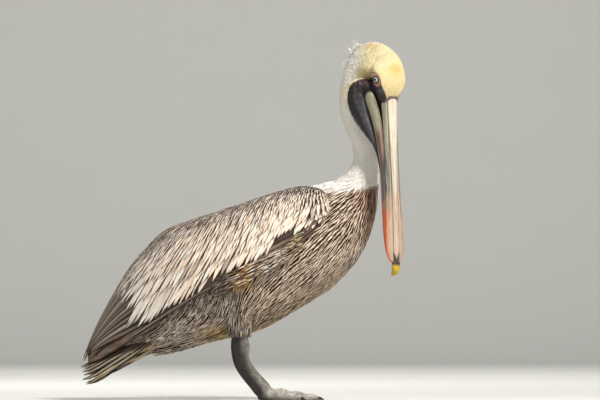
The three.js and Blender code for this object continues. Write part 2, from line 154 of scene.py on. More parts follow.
WING = np.array([  # u, top edge x z, lower edge x z, top y, widest y, thickness
    [0, 148, 348, 149, 333, 66, 78, 4],
    [0.035, 137, 366, 139, 308, 46, 88, 10],
    [0.12, 104, 373, 98, 268, 34, 97, 14],
    [0.24, 60, 364, 46, 238, 28, 101, 14],
    [0.38, 5, 346, -20, 206, 22, 99, 14],
    [0.5, -50, 328, -76, 178, 14, 91, 12],
    [0.6, -94, 314, -124, 148, 8, 79, 11],
    [0.69, -135, 298, -164, 122, 3, 66, 9],
    [0.77, -172, 263, -196, 104, 1.6, 55, 8],
    [0.84, -204, 223, -226, 87, 1.5, 45, 7],
    [0.9, -232, 175, -250, 74, 1.5, 35, 6],
    [0.96, -259, 121, -268, 64, 1.5, 25, 5],
    [1, -282, 62, -281, 54, 1.5, 15, 4],
], float)

TAIL = np.array([  # x, z at the middle, half-width, droop of the outer edge, thickness
    [-283, 58, 45, 24, 2.6],
    [-266, 68, 50, 28, 4.5],
    [-240, 83, 48, 27, 6.5],
    [-205, 103, 42, 25, 11],
    [-172, 121, 34, 19, 18],
    [-140, 139, 26, 10, 24],
], float)

SHANK = np.array([  # from the ankle down: x, z, half-depth, half-width
    [-4, 114, 12, 10],
    [-4, 102, 13.5, 11],
    [-3, 92, 14.8, 11.8],
    [-3, 78, 13, 9.5],
    [2, 62, 13, 8.5],
    [13, 45, 13, 8.5],
    [26, 30, 13.5, 10],
    [36, 18, 14, 12.5],
    [42, 9, 11, 12],
], float)

THIGH = np.array([  # z, x, half-depth, half-width
    [104, -4, 12, 10.5],
    [112, -5, 16, 13],
    [122, -7, 20, 16.5],
    [138, -10, 25, 18.5],
    [160, -12, 27, 20],
], float)

TOES = (  # name, angle outward, reach, root half-width and half-height
    ("middle", 2, 94, 9, 13),
    ("outer", 31, 86, 8, 12),
    ("inner", -27, 74, 8, 12),
    ("hind", -92, 34, 6, 8),
)
STANCE = 45  # from the middle plane to each leg
TOE_OUT = 14  # degrees that each foot is turned outward
LEG_BACK = {1: 5, -1: 0}  # how far the left and the right leg stand back
FOOT_ROOT = 42  # x at which the toes meet
CLAW_REACH = 13
WING_LENGTH = 560  # from wrist to tip along the fold

HEAD_YAW = math.radians(57)
EYE_MID = np.array([252.4, -70.0, 556.0])
FRONT = np.array([math.cos(HEAD_YAW), -math.sin(HEAD_YAW), 0.0])
LEFT = np.array([math.sin(HEAD_YAW), math.cos(HEAD_YAW), 0.0])
ALONG = np.array([0.0, 0.0, -1.0])
UP = np.array([0.0, 0.0, 1.0])
ACROSS = np.array([0.0, 1.0, 0.0])
TURN = 2 * math.pi
EYE_SETBACK = 24.0
EYE_RADIUS = 7.5
SIDE_NAME = {1: "left", -1: "right"}


# ---- settings ----

def ink(r, g, b):
    """Display red, green and blue, 0 to 255, as linear light."""
    c = np.array([r, g, b]) / 255
    return np.where(c <= 0.04045, c / 12.92, ((c + 0.055) / 1.055) ** 2.4)


def tint(name, about, r, g, b):
    """A colour property with its default given as display values."""
    return bpy.props.FloatVectorProperty(
        name=name, description=about, subtype="COLOR", size=3, min=0, max=1, default=tuple(ink(r, g, b)))


def length(name, about, mm):
    """A length property with its default in millimetres."""
    return bpy.props.FloatProperty(name=name, description=about, unit="LENGTH", precision=5, default=mm * MM)


def power(name, about, watts):
    """The power of a light."""
    return bpy.props.FloatProperty(name=name, description=about, unit="POWER", default=watts)


class PlumageSettings(PropertyGroup):
    covert_width: length("Covert width", "Width of the longest wing coverts", 10.5)
    breast_width: length("Breast vane width", "Spacing of the streaks on the breast", 4.1)
    breast_pitch: length("Breast pitch", "Step from vane to vane along the breast", 10)
    neck_pitch: length("Neck pitch", "Step from row to row of the neck tufts", 2.0)
    head_pitch: length("Head pitch", "Step from row to row of the head tufts", 1.1)
    wing_pale: tint("Covert", "Middle of the wing coverts", 224, 209, 194)
    wing_warm: tint("Warm covert", "Pinkish wing coverts", 228, 204, 184)
    wing_silver: tint("Silver covert", "Greyish wing coverts", 212, 206, 198)
    wing_dark: tint("Covert edge", "Dark edges of the wing coverts", 70, 52, 42)
    flight_dark: tint("Flight dark", "Primaries and secondaries", 64, 50, 42)
    flight_shaft: tint("Flight shaft", "Lighter middle of the flight feathers", 122, 104, 90)
    flight_grey: tint("Outer primary", "The outermost primaries", 158, 154, 150)
    tail_edge: tint("Tail edge", "Pale edges of the tail feathers", 205, 192, 168)
    breast_pale: tint("Breast streak", "Pale streaks of the breast", 216, 196, 176)
    breast_dark: tint("Breast brown", "Brown between the streaks", 68, 50, 40)
    breast_red: tint("Breast red", "Chestnut at the front of the breast", 168, 122, 98)
    belly_pale: tint("Belly streak", "Cream streaks of belly and undertail", 200, 180, 144)
    flank_dark: tint("Flank brown", "Dark brown of the flank", 46, 33, 26)
    tuft_gold: tint("Side tuft", "Golden tufts below the wing", 196, 150, 84)
    neck_white: tint("Neck", "White of neck and crest", 244, 241, 234)
    neck_shade: tint("Neck shade", "Grey between the neck's tufts", 206, 200, 190)
    crown_cream: tint("Crown", "Pale yellow of the head", 239, 227, 184)
    crown_gold: tint("Crown gold", "Golden patches of the crown", 226, 186, 104)
    cheek_olive: tint("Cheek", "Olive buff behind the eye", 168, 148, 92)


class HornSettings(PropertyGroup):
    ridge: tint("Ridge", "Bill ridge", 208, 196, 178)
    plate: tint("Side plate", "Sides of the upper bill", 168, 163, 142)
    groove: tint("Groove", "Dark grooves and seams", 62, 50, 46)
    slate: tint("Slate", "Dark streaks of the bill", 92, 88, 94)
    orange: tint("Orange", "Red-orange sides near the tip", 200, 100, 66)
    ramus: tint("Lower bill", "Pale base of the lower bill", 198, 196, 164)
    nail: tint("Nail", "Hooked nail of the bill", 178, 154, 40)
    claw: tint("Claw", "Claws", 38, 34, 32)
    bill_roughness: bpy.props.FloatProperty(
        name="Bill roughness", description="Dullness of the horn", default=0.4)


class SkinSettings(PropertyGroup):
    voxel: length("Voxel", "Grain of the joined skin", 1.25)
    triangles: bpy.props.IntProperty(
        name="Triangles", description="Triangles kept in the skin", default=170000)
    pouch: tint("Pouch", "Dark pouch and face skin", 36, 34, 37)
    # Pouch fold: a painted highlight, a bluish-grey sheen along the crest of the pouch's fold; the same
    # colour also tints a grey patch below the eye.
    crest: tint("Pouch fold", "Lighter crest of the pouch's fold", 96, 98, 106)
    orbit: tint("Orbital skin", "Pink skin round the eye", 200, 150, 140)
    maroon: tint("Maroon", "Red of the lids and gape", 132, 46, 48)
    # Painted light and shade on the legs: a darker painted-shade colour for the back and a lighter
    # painted-light colour for the front.
    leg_dark: tint("Leg shade", "Back of the legs", 48, 45, 44)
    leg_light: tint("Leg front", "Front of the legs", 132, 126, 118)
    foot_pale: tint("Foot", "Whitish top of the feet", 196, 191, 182)
    iris: tint("Iris", "Pale iris", 150, 166, 164)


class StageSettings(PropertyGroup):
    floor: tint("Floor", "Pale floor and backdrop", 208, 208, 204)
    key_power: power("Key", "Power of the key light", 154)
    fill_power: power("Fill", "Power of the fill light", 28)
    rim_power: power("Rim", "Power of the rim light", 60)
    back_power: power("Back", "Power of the backdrop's light", 250)
    sky: bpy.props.FloatProperty(name="Sky", description="Strength of the even light", default=0.27)


GROUPS = {
    "pelican_plumage": PlumageSettings,
    "pelican_horn": HornSettings,
    "pelican_skin": SkinSettings,
    "pelican_stage": StageSettings,
}


class Values:
    """Settings read as numpy colours and millimetres."""

    def __init__(self, group):
        self.group = group

    def __getattr__(self, key):
        value = getattr(self.group, key)
        if hasattr(value, "__len__"):
            return np.array(value[:])
        return value

    def mm(self, key):
        return getattr(self.group, key) / MM


def settings(key):
    return Values(getattr(bpy.context.scene, "pelican_" + key))


# ---- curves and surfaces ----

def curve(rows, t):
    """Values on a smooth curve through table rows whose first column is the parameter.

    Cubic Hermite with the slope at each row taken from its two neighbours.
    """
    knots, values = rows[:, 0], rows[:, 1:]
    t = np.clip(np.asarray(t, float), knots[0], knots[-1])
    slope = np.empty_like(values)
    slope[1:-1] = (values[2:] - values[:-2]) / (knots[2:] - knots[:-2])[:, None]
    slope[0] = (values[1] - values[0]) / (knots[1] - knots[0])
    slope[-1] = (values[-1] - values[-2]) / (knots[-1] - knots[-2])
    i = np.clip(np.searchsorted(knots, t, side="right") - 1, 0, len(knots) - 2)
    h = knots[i + 1] - knots[i]
    s = ((t - knots[i]) / h)[..., None]
    h = h[..., None]
    return (
        (1 + 2 * s) * (1 - s) ** 2 * values[i]
        + s * (1 - s) ** 2 * h * slope[i]
        + s * s * (3 - 2 * s) * values[i + 1]
        + s * s * (s - 1) * h * slope[i + 1]
    )


def unit(v):
    """The vectors of an array divided by their lengths."""
    return v / np.maximum(np.linalg.norm(v, axis=-1, keepdims=True), 1e-9)


def smooth(a, b, x):
    """0 below a, 1 above b, an S curve between; falling if a is above b."""
    t = np.clip((np.asarray(x, float) - a) / (b - a), 0, 1)
    return t * t * (3 - 2 * t)


def dot(a, b):
    return (a * b).sum(-1)


def mix(a, b, t):
    return a + (b - a) * np.asarray(t)[..., None]


def signed_power(x, p):
    return np.sign(x) * np.abs(x) ** p


def bell(x, middle, width):
    """1 where x is at the middle, falling off like a bell over the width."""
    return np.exp(-((x - middle) / width) ** 2)


def patch(a, b, mid_a, mid_b, wide, high):
    """A soft round patch over two coordinates: 1 at its middle, falling off like a bell both ways."""
    return np.exp(-((a - mid_a) / wide) ** 2 - ((b - mid_b) / high) ** 2)


_steps = np.linalg.norm(np.diff(SPINE[:, :3], axis=0), axis=1)
SPINE_LENGTH = float(_steps.sum())
SPINE_RUN = np.c_[np.r_[0, np.cumsum(_steps)] / SPINE_LENGTH, SPINE]


def spine_frame(s):
    """Row values, tangent, left and back vectors of the spine at run s."""
    row = curve(SPINE_RUN, s)
    ahead = curve(SPINE_RUN, np.minimum(s + 1e-3, 1))[..., :3]
    behind = curve(SPINE_RUN, np.maximum(s - 1e-3, 0))[..., :3]
    along = unit(ahead - behind)
    yaw = np.radians(row[..., 6])
    left = np.stack([np.sin(yaw), np.cos(yaw), 0 * yaw], -1)
    left = unit(left - along * dot(left, along)[..., None])
    return row, along, left, np.cross(along, left)


def spine_point(s, phi, grow=0.0):
    """Trunk and neck: an oval ring square to the spine at run s, phi from the back round to the left."""
    s, phi = np.broadcast_arrays(np.asarray(s, float), phi)
    row, _, left, back = spine_frame(s)
    c, q = np.cos(phi), np.sin(phi)
    deep = np.where(c > 0, row[..., 3], row[..., 4]) + grow
    return row[..., :3] + left * ((row[..., 5] + grow) * q)[..., None] + back * (deep * c)[..., None]


def head_frame_point(b, f, l):
    """A point b down the bill, f to the front of the head and l to its left, from between the eyes."""
    b, f, l = np.broadcast_arrays(b, f, l)
    return EYE_MID + b[..., None] * ALONG + f[..., None] * FRONT + l[..., None] * LEFT


def head_point(b, phi, grow=0.0):
    """Head: a level oval at b, phi from the front round to the left."""
    b, phi = np.broadcast_arrays(np.asarray(b, float), phi)
    row = curve(HEAD, b)
    c, q = np.cos(phi), np.sin(phi)
    deep = np.where(c > 0, row[..., 1], row[..., 2]) + grow
    return head_frame_point(b, row[..., 0] + deep * c, (row[..., 3] + grow) * q)


def wing_point(u, v, side, depth=0.0):
    """Folded wing: u from wrist to tip, v from the top edge over the shoulder to the lower edge.

    Across v the wing turns a quarter circle, flattened by the powers; depth sinks it inward.
    """
    u, v = np.broadcast_arrays(np.asarray(u, float), np.asarray(v, float))
    row = curve(WING, u)
    turn = v * math.pi / 2
    across = signed_power(np.sin(turn), 0.85)
    fall = 1 - signed_power(np.cos(turn), 0.9)
    in_y = np.abs(np.sin(turn)) ** 0.8
    in_z = np.cos(turn)
    return np.stack([
        row[..., 0] + (row[..., 2] - row[..., 0]) * fall,
        side * (row[..., 4] + (row[..., 5] - row[..., 4]) * across - depth * in_y),
        row[..., 1] + (row[..., 3] - row[..., 1]) * fall - depth * in_z,
    ], -1)


def wing_girth(u):
    """Length of the wing's skin from the top edge to the lower edge."""
    u = np.asarray(u, float)
    line = wing_point(u[..., None], np.linspace(0, 1, 25), 1)
    return np.linalg.norm(np.diff(line, axis=-2), axis=-1).sum(-1)


def tail_point(x, k, depth=0.0):
    """Tail fan: x from root to tip, k from the right edge -1 to the left edge 1, the edges drooping."""
    x, k = np.broadcast_arrays(np.asarray(x, float), np.asarray(k, float))
    row = curve(TAIL, x)
    return np.stack([x + 10 * k * k, row[..., 1] * k, row[..., 0] - row[..., 2] * k * k - depth], -1)


def pouch_point(b, phi, grow=0.0):
    """Throat pouch: a level oval at b, turned by its yaw."""
    b, phi = np.broadcast_arrays(np.asarray(b, float), phi)
    row = curve(POUCH, b)
    yaw = np.radians(row[..., 2])
    fore = np.stack([np.cos(yaw), -np.sin(yaw), 0 * yaw], -1)
    side = np.stack([np.sin(yaw), np.cos(yaw), 0 * yaw], -1)
    centre = np.stack([row[..., 0], row[..., 1], EYE_MID[2] - b], -1)
    return centre + fore * ((row[..., 3] + grow) * np.cos(phi))[..., None] \
        + side * ((row[..., 4] + grow) * np.sin(phi))[..., None]


def thigh_point(z, phi, side, grow=0.0):
    """Thigh: a level oval at height z, phi from the front round to the left."""
    z, phi = np.broadcast_arrays(np.asarray(z, float), phi)
    row = curve(THIGH, z)
    return np.stack([
        row[..., 0] - LEG_BACK[side] + (row[..., 1] + grow) * np.cos(phi),
        side * (STANCE + 2) + (row[..., 2] + grow) * np.sin(phi),
        z,
    ], -1)


# ---- where a point lies ----

def head_coords(p):
    """b, f, l of points."""
    d = p - EYE_MID
    return d @ ALONG, d @ FRONT, d @ LEFT


def head_fill(p):
    """Below 1 inside the head's ovals."""
    b, f, l = head_coords(p)
    row = curve(HEAD, b)
    g = f - row[..., 0]
    deep = np.where(g > 0, row[..., 1], row[..., 2])
    r = np.sqrt((g / deep) ** 2 + (l / row[..., 3]) ** 2)
    return np.where((b < HEAD[0, 0]) | (b > HEAD[-1, 0]), 9.0, r)


def pouch_fill(p):
    """Below 1 inside the pouch's ovals."""
    b = EYE_MID[2] - p[..., 2]
    row = curve(POUCH, b)
    yaw = np.radians(row[..., 2])
    dx, dy = p[..., 0] - row[..., 0], p[..., 1] - row[..., 1]
    fore = dx * np.cos(yaw) - dy * np.sin(yaw)
    side = dx * np.sin(yaw) + dy * np.cos(yaw)
    r = np.sqrt((fore / row[..., 3]) ** 2 + (side / row[..., 4]) ** 2)
    return np.where((b < POUCH[0, 0]) | (b > POUCH[-1, 0]), 9.0, r)


_ring_runs = np.linspace(0, 1, 160)
_ring_row, _ring_along, _ring_left, _ring_back = spine_frame(_ring_runs)


def spine_near(p):
    """Run of the nearest ring centre and how full its oval is there, below 1 inside."""
    flat = p.reshape(-1, 3)
    best = np.empty(len(flat), int)
    for start in range(0, len(flat), 20000):
        part = flat[start:start + 20000]
        away = part[:, None, :] - _ring_row[None, :, :3]
        best[start:start + 20000] = (away ** 2).sum(-1).argmin(1)
    d = flat - _ring_row[best, :3]
    up = dot(d, _ring_back[best])
    side = dot(d, _ring_left[best])
    past = np.maximum(np.abs(dot(d, _ring_along[best])) - 4, 0) / 5
    deep = np.where(up > 0, _ring_row[best, 3], _ring_row[best, 4])
    r = np.sqrt((up / deep) ** 2 + (side / _ring_row[best, 5]) ** 2) + past
    return _ring_runs[best].reshape(p.shape[:-1]), r.reshape(p.shape[:-1])


_low = WING[np.argsort(WING[:, 3])]
_high = WING[np.argsort(WING[:, 1])]


def under_wing(p, margin=7.0):
    """True where a wing covers the trunk."""
    edge = np.interp(p[..., 0], _low[:, 3], _low[:, 4])
    inner = np.interp(p[..., 0], _high[:, 1], _high[:, 5])
    return (p[..., 2] > edge + margin) & (np.abs(p[..., 1]) > inner + 3) & (p[..., 0] < 136)


def eye_ring(b, f):
    """Distance from the eye's middle as a share of the bare oval round it, which leans back at its top."""
    lean = f - 2.5 - 0.22 * b
    return np.sqrt((b / 13.2) ** 2 + (lean / 10.5) ** 2)


def bare_amount(p):
    """1 on the bare skin of the face and pouch, 0 where feathers grow."""
    b, f, l = head_coords(p)
    row = curve(HEAD, b)
    turn = np.degrees(np.arctan2(np.abs(l) / row[..., 3], (f - row[..., 0]) / row[..., 1]))
    border = np.interp(b, [-8, 0, 10, 18.6, 26, 34], [76, 66, 59, 51, 43, 34])
    top = np.interp(turn, [40, 60, 95, 130, 180], [0, -3, -5, -3, 0])
    face = smooth(-1.2, 1.2, b - top) * smooth(-3, 3, turn - border)
    ring = (1 - smooth(0.94, 1.06, eye_ring(b, f))) * (np.abs(l) > 13)
    near_head = 1 - smooth(1.12, 1.3, head_fill(p))
    sack = 1 - smooth(1.03, 1.1, pouch_fill(p))
    return np.clip(np.maximum(np.maximum(face, ring) * near_head, sack), 0, 1)


def fold_line(b):
    """X of the fold's crest down the near side of the pouch."""
    return np.interp(b, [-4, 8, 31, 48, 69, 92, 105], [199.5, 200.8, 205.4, 209.7, 215.2, 222.9, 227])


# ---- colours ----

NECK_BASE = np.array([[146, 364], [178, 362], [195, 366], [213, 371], [232, 378]], float)


def neck_is_white(p):
    """1 above the line where the white neck meets the brown breast."""
    line = np.interp(p[..., 0], NECK_BASE[:, 0], NECK_BASE[:, 1])
    return smooth(-3, 3, p[..., 2] - line)


def blob(p, x, z, wide, high=None):
    """A soft round patch centred at x, z as seen from the side."""
    return patch(p[..., 0], p[..., 2], x, z, wide, wide if high is None else high)


def coat_colours(p):
    """Pale and dark colours and the dark edge's share of each vane, for trunk, neck and head."""
    c = settings("plumage")
    x, z = p[..., 0], p[..., 2]
    front = smooth(-6, 34, x + 0.35 * (z - 300) - 196) * smooth(225, 290, z)
    pale = mix(c.breast_pale, c.breast_red, front * 0.6)
    dark = mix(c.breast_dark, c.breast_dark * 0.6, front * 0.7)
    pale = mix(pale, c.breast_red, blob(p, 222, 352, 12, 14) * 0.5)
    low = smooth(66, 6, z - (88 + 0.44 * np.clip(x + 20, -200, 250)))
    pale = mix(pale, c.belly_pale, low * 0.55)
    rear = smooth(-10, -70, x) * low
    pale = mix(pale, c.belly_pale, rear * 0.8)
    dark = mix(dark, c.breast_dark * [1.15, 1.1, 0.8], rear * 0.8)
    flank = smooth(40, -10, x) * (1 - 0.8 * low) * smooth(240, 190, z)
    dark = mix(dark, c.flank_dark, flank)
    pale = mix(pale, c.wing_pale * 0.72, flank * 0.7)
    edge = 0.62 + 0.22 * flank + 0.1 * low * smooth(-20, 20, x)
    tan = blob(p, -38, 120, 26, 12)
    pale = mix(pale, c.belly_pale * [1.0, 0.86, 0.62], tan * 0.8)
    dark = mix(dark, c.tuft_gold * 0.5, tan * 0.7)
    back = smooth(250, 300, z) * smooth(60, 40, np.abs(p[..., 1])) * smooth(160, 130, x)
    pale = mix(pale, c.wing_pale * 0.62, back)
    dark = mix(dark, c.flank_dark, back)
    edge = edge + 0.12 * back
    white = neck_is_white(p)
    pale = mix(pale, c.neck_white, white)
    dark = mix(dark, mix(c.neck_shade, c.neck_white, 0.3), white)
    edge = edge + (0.2 - edge) * white
    b, f, l = head_coords(p)
    yellow = smooth(1.9, 1.25, head_fill(p)) * smooth(20, -4, b) * white
    yellow = np.maximum(yellow, smooth(1.35, 1.12, head_fill(p)) * white * smooth(-30, -10, f))
    rim = smooth(1.5, 1.08, pouch_fill(p)) * smooth(60, 0, b) * white
    yellow = np.maximum(yellow, rim)
    pale = mix(pale, c.crown_cream, yellow)
    dark = mix(dark, c.crown_cream * [0.9, 0.84, 0.7], yellow)
    gold = patch(b, l, -17, 0, 10, 13) * smooth(0, 10, f) + 0.3 * smooth(-34, -6, b) * smooth(4, 14, f)
    gold = np.maximum(gold, 0.9 * blob(p, 224, 617, 17, 7))
    pale = mix(pale, c.crown_gold, np.clip(gold, 0, 1) * 0.75)
    dark = mix(dark, c.crown_gold * 0.72, np.clip(gold, 0, 1) * 0.75)
    cheek = patch(b, f, -12, -24, 12, 13) * smooth(8, 18, np.abs(l))
    pale = mix(pale, c.cheek_olive * 1.3, cheek * 0.75)
    dark = mix(dark, c.cheek_olive * 0.75, cheek * 0.6)
    corner = patch(b, f, -14, -9, 6, 5) * (np.abs(l) > 12)
    dark = mix(dark, c.cheek_olive * 0.5, corner * 0.7)
    return pale, dark, np.clip(edge, 0, 1)


# ---- mesh helpers ----

def placed(name, data):
    """A new object that shows a mesh, a light or a camera."""
    obj = bpy.data.objects.new(name, data)
    bpy.context.collection.objects.link(obj)
    return obj


def new_object(name, points, faces):
    """A smooth mesh object at the origin from millimetre points and face index arrays."""
    mesh = bpy.data.meshes.new(name)
    mesh.from_pydata((points * MM).tolist(), [], faces.tolist())
    mesh.update()
    mesh.polygons.foreach_set("use_smooth", np.ones(len(mesh.polygons), bool))
    return placed(name, mesh)


def quads(rows, cols, wrap, wrap_rows=False):
    """Face indices of a grid of rows by cols points, closed round the columns, or both ways."""
    r, c = np.meshgrid(
        np.arange(rows if wrap_rows else rows - 1), np.arange(cols if wrap else cols - 1), indexing="ij")
    n, m = (c + 1) % cols, (r + 1) % rows
    return np.stack([r * cols + c, r * cols + n, m * cols + n, m * cols + c], -1).reshape(-1, 4)


def outward(points, tris):
    """The triangles turned, if need be, so that the closed shape has positive volume."""
    a, b, c = (points[tris[:, i]] for i in range(3))
    return tris if dot(np.cross(a, b), c).sum() > 0 else tris[:, [0, 2, 1]]


def tube(points):
    """Points and triangles of a closed tube from a rows by cols by 3 grid, ends closed by fans."""
    rows, cols = points.shape[:2]
    q = quads(rows, cols, True)
    flat = np.concatenate([points.reshape(-1, 3), points[:1].mean(1), points[-1:].mean(1)])
    j = np.arange(cols)
    k = (j + 1) % cols
    first = np.stack([np.full(cols, rows * cols), k, j], -1)
    base = (rows - 1) * cols
    last = np.stack([np.full(cols, rows * cols + 1), base + j, base + k], -1)
    tris = np.concatenate([q[:, [0, 1, 2]], q[:, [0, 2, 3]], first, last])
    return flat, outward(flat, tris)


def hoop(points):
    """Points and triangles of a grid closed both ways."""
    rows, cols = points.shape[:2]
    q = quads(rows, cols, True, True)
    flat = points.reshape(-1, 3)
    tris = np.concatenate([q[:, [0, 1, 2]], q[:, [0, 2, 3]]])
    return flat, outward(flat, tris)


def tube_tone(tone):
    """Grid colours as point colours of a tube, its two end points included."""
    flat = tone.reshape(-1, 3)
    return np.concatenate([flat, tone[:1].mean(1), tone[-1:].mean(1)])


def joined(parts):
    """Several (points, triangles) as one."""
    offset = np.cumsum([0] + [len(p) for p, _ in parts[:-1]])
    return np.concatenate([p for p, _ in parts]), np.concatenate([t + o for (_, t), o in zip(parts, offset)])


def paint(obj, name, values):
    """A colour attribute on the points."""
    data = obj.data.attributes.new(name, "FLOAT_COLOR", "POINT")
    if values.shape[1] == 3:
        values = np.c_[values, np.ones(len(values))]
    data.data.foreach_set("color", np.ascontiguousarray(values, np.float32).ravel())


def corner_uv(obj, name, per_point):
    """A UV map from one coordinate pair per point."""
    layer = obj.data.uv_layers.new(name=name)
    index = np.empty(len(obj.data.loops), np.int32)
    obj.data.loops.foreach_get("vertex_index", index)
    layer.data.foreach_set("uv", np.ascontiguousarray(per_point[index], np.float32).ravel())


def applied(obj, name):
    """A new object with the modifiers of obj carried out; obj is removed."""
    graph = bpy.context.evaluated_depsgraph_get()
    mesh = bpy.data.meshes.new_from_object(obj.evaluated_get(graph))
    mesh.name = name
    new = placed(name, mesh)
    bpy.data.objects.remove(obj)
    return new


def point_array(obj):
    """The object's points in millimetres."""
    co = np.empty(len(obj.data.vertices) * 3, np.float32)
    obj.data.vertices.foreach_get("co", co)
    return co.reshape(-1, 3).astype(float) / MM


def shared(name, make):
    """The material of this name, made once."""
    return bpy.data.materials.get(name) or make()


def settle(obj, nodes, material):
    """Gives a piece its material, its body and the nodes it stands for."""
    obj.data.materials.clear()
    obj.data.materials.append(material)
    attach(obj, "root")
    if nodes:
        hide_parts(*nodes)
    return obj


# ---- vanes ----

class Coat:
    """Gathers vanes and makes one joined mesh of them."""

    def __init__(self, seed):
        self.points, self.faces, self.uv, self.bake = [], [], [], []
        self.pale, self.dark, self.count = [], [], 0
        self.rng = np.random.default_rng(seed)

    def add(self, centre, normal, width, thick, bake, pale, dark, edge, roll=0.0, camber=0.0, sides=3):
        """Closed vanes along centre lines.

        centre, normal: N by K by 3, root first, tip last. width: N by K half-widths.
        Each inner station is a ring with its edges low and its shaft high over a flat underside,
        root and tip are single points. The edges drop by camber and tilt by roll, as shares of the width.
        Colours, edge and roll are one value for all vanes or one for each.
        """
        n, k = centre.shape[:2]
        along = unit(np.gradient(centre, axis=1))
        across = unit(np.cross(normal, along))
        over = np.cross(along, across)
        place = np.linspace(-1, 1, sides)
        w = width[:, 1:-1, None, None]
        pl = place[None, None, :, None]
        roll = np.broadcast_to(roll, n)[:, None, None, None]
        thick = np.broadcast_to(thick, n)[:, None, None, None]
        high = thick * (1 - np.abs(pl)) + w * roll * pl - camber * w * pl ** 2
        rings = centre[:, 1:-1, None, :] + across[:, 1:-1, None, :] * (w * pl) + over[:, 1:-1, None, :] * high
        points = np.concatenate([centre[:, :1], rings.reshape(n, (k - 2) * sides, 3), centre[:, -1:]], 1)
        per = points.shape[1]
        base = self.count + np.arange(n)[:, None, None] * per
        self.faces.append((self.pattern(k, sides)[None] + base).reshape(-1, 3))
        self.points.append(points.reshape(-1, 3))
        self.count += n * per
        t = np.linspace(0, 1, k)[1:-1]
        inner = np.stack(np.broadcast_arrays(0.5 + 0.5 * place[None, :], t[:, None]), -1).reshape(-1, 2)
        own = np.concatenate([[[0.5, 0.0]], inner, [[0.5, 1.0]]])
        self.uv.append(np.tile(own, (n, 1)))
        self.bake.append((bake[:, None, :] + (own - 0.5)[None] * 0.003).reshape(-1, 2))
        chance = self.rng.uniform(0, 1, n)
        self.pale.append(np.repeat(np.c_[np.broadcast_to(pale, (n, 3)), np.broadcast_to(edge, n)], per, 0))
        self.dark.append(np.repeat(np.c_[np.broadcast_to(dark, (n, 3)), chance], per, 0))

    def lift(self, centre, normal, root, tip, loose):
        """Centre lines raised over their surface: by root, and toward the tip by tip and up to loose more."""
        t = np.linspace(0, 1, centre.shape[1])
        more = self.rng.uniform(0, loose, (len(centre), 1))
        return centre + normal * (root + (tip + more) * t)[..., None]

    @staticmethod
    def pattern(k, m):
        """Triangles of one vane with k stations and m points a ring."""
        ring = 1 + np.arange(k - 2)[:, None] * m + np.arange(m)[None, :]
        nxt = (np.arange(m) + 1) % m
        a, b, c, d = ring[:-1], ring[:-1][:, nxt], ring[1:][:, nxt], ring[1:]
        walls = [np.stack(corners, -1).reshape(-1, 3) for corners in ([a, b, c], [a, c, d])]
        root = np.stack([np.zeros(m, int), ring[0][nxt], ring[0]], -1)
        tip = np.stack([np.full(m, (k - 2) * m + 1), ring[-1], ring[-1][nxt]], -1)
        return np.concatenate([*walls, root, tip])

    def build(self, name, nodes):
        """The joined mesh with its two UV maps, colours and the plumage material."""
        points, tris = np.concatenate(self.points), np.concatenate(self.faces)
        mesh = bpy.data.meshes.new(name)
        mesh.vertices.add(len(points))
        mesh.vertices.foreach_set("co", (points * MM).astype(np.float32).ravel())
        mesh.loops.add(len(tris) * 3)
        mesh.loops.foreach_set("vertex_index", tris.astype(np.int32).ravel())
        mesh.polygons.add(len(tris))
        mesh.polygons.foreach_set("loop_start", np.arange(0, len(tris) * 3, 3, dtype=np.int32))
        mesh.polygons.foreach_set("use_smooth", np.ones(len(tris), bool))
        mesh.update(calc_edges=True)
        obj = placed(name, mesh)
        corner_uv(obj, "OFBake", np.concatenate(self.bake))
        corner_uv(obj, "Vane", np.concatenate(self.uv))
        paint(obj, "Pale", np.concatenate(self.pale))
        paint(obj, "Dark", np.concatenate(self.dark))
        print("PIECE", name, len(tris))
        return settle(obj, nodes, shared("plumage", plumage_material))


class Surface:
    """A shape of two parameters, with its outward normal.

    place gives the points, the steps are for its derivatives, and outside says whether their cross
    product already points outward.
    """

    def __init__(self, place, step_a, step_b, outside):
        self.place, self.da, self.db = place, step_a, step_b
        self.sign = 1.0 if outside else -1.0

    def at(self, a, b):
        """Position, unit outward normal and the two derivatives."""
        p = self.place(a, b)
        pa = (self.place(a + self.da, b) - self.place(a - self.da, b)) / (2 * self.da)
        pb = (self.place(a, b + self.db) - self.place(a, b - self.db)) / (2 * self.db)
        return p, unit(np.cross(pa, pb)) * self.sign, pa, pb

    def follow(self, a, b, aim, reach, stations):
        """Centre lines that run along the surface for their reach, turning with aim.

        Each step solves for the parameter change whose move equals the wanted one.
        """
        lines, normals = [], []
        a, b = a.copy(), b.copy()
        for _ in range(stations):
            p, n, pa, pb = self.at(a, b)
            lines.append(p)
            normals.append(n)
            heading = aim(p, n)
            d = unit(heading - n * dot(heading, n)[:, None]) * (reach / (stations - 1))[:, None]
            aa, bb, ab = dot(pa, pa), dot(pb, pb), dot(pa, pb)
            ra, rb = dot(pa, d), dot(pb, d)
            det = np.maximum(aa * bb - ab * ab, 1e-9)
            a = a + (ra * bb - rb * ab) / det
            b = b + (rb * aa - ra * ab) / det
        return np.stack(lines, 1), np.stack(normals, 1)


def lance(stations, root=0.5, peak=0.35, sharp=1.7):
    """Half-width share along a vane: rises from the root, full at peak, then narrows to a point."""
    t = np.linspace(0, 1, stations)
    rise = root + (1 - root) * np.sin(np.clip(t / peak, 0, 1) * math.pi / 2)
    return rise * (1 - np.clip((t - peak) / (1 - peak), 0, 1) ** sharp)


def headings(rows, weight=2.0):
    """A flow seen from the side, blended from rows of x, z and degrees below level toward the tail."""
    rows = np.array(rows, float)

    def angle(p):
        d = (p[..., 0, None] - rows[:, 0]) ** 2 + (p[..., 2, None] - rows[:, 1]) ** 2
        w = 1 / (d + 60) ** weight
        return (w * rows[:, 2]).sum(-1) / w.sum(-1)

    return angle


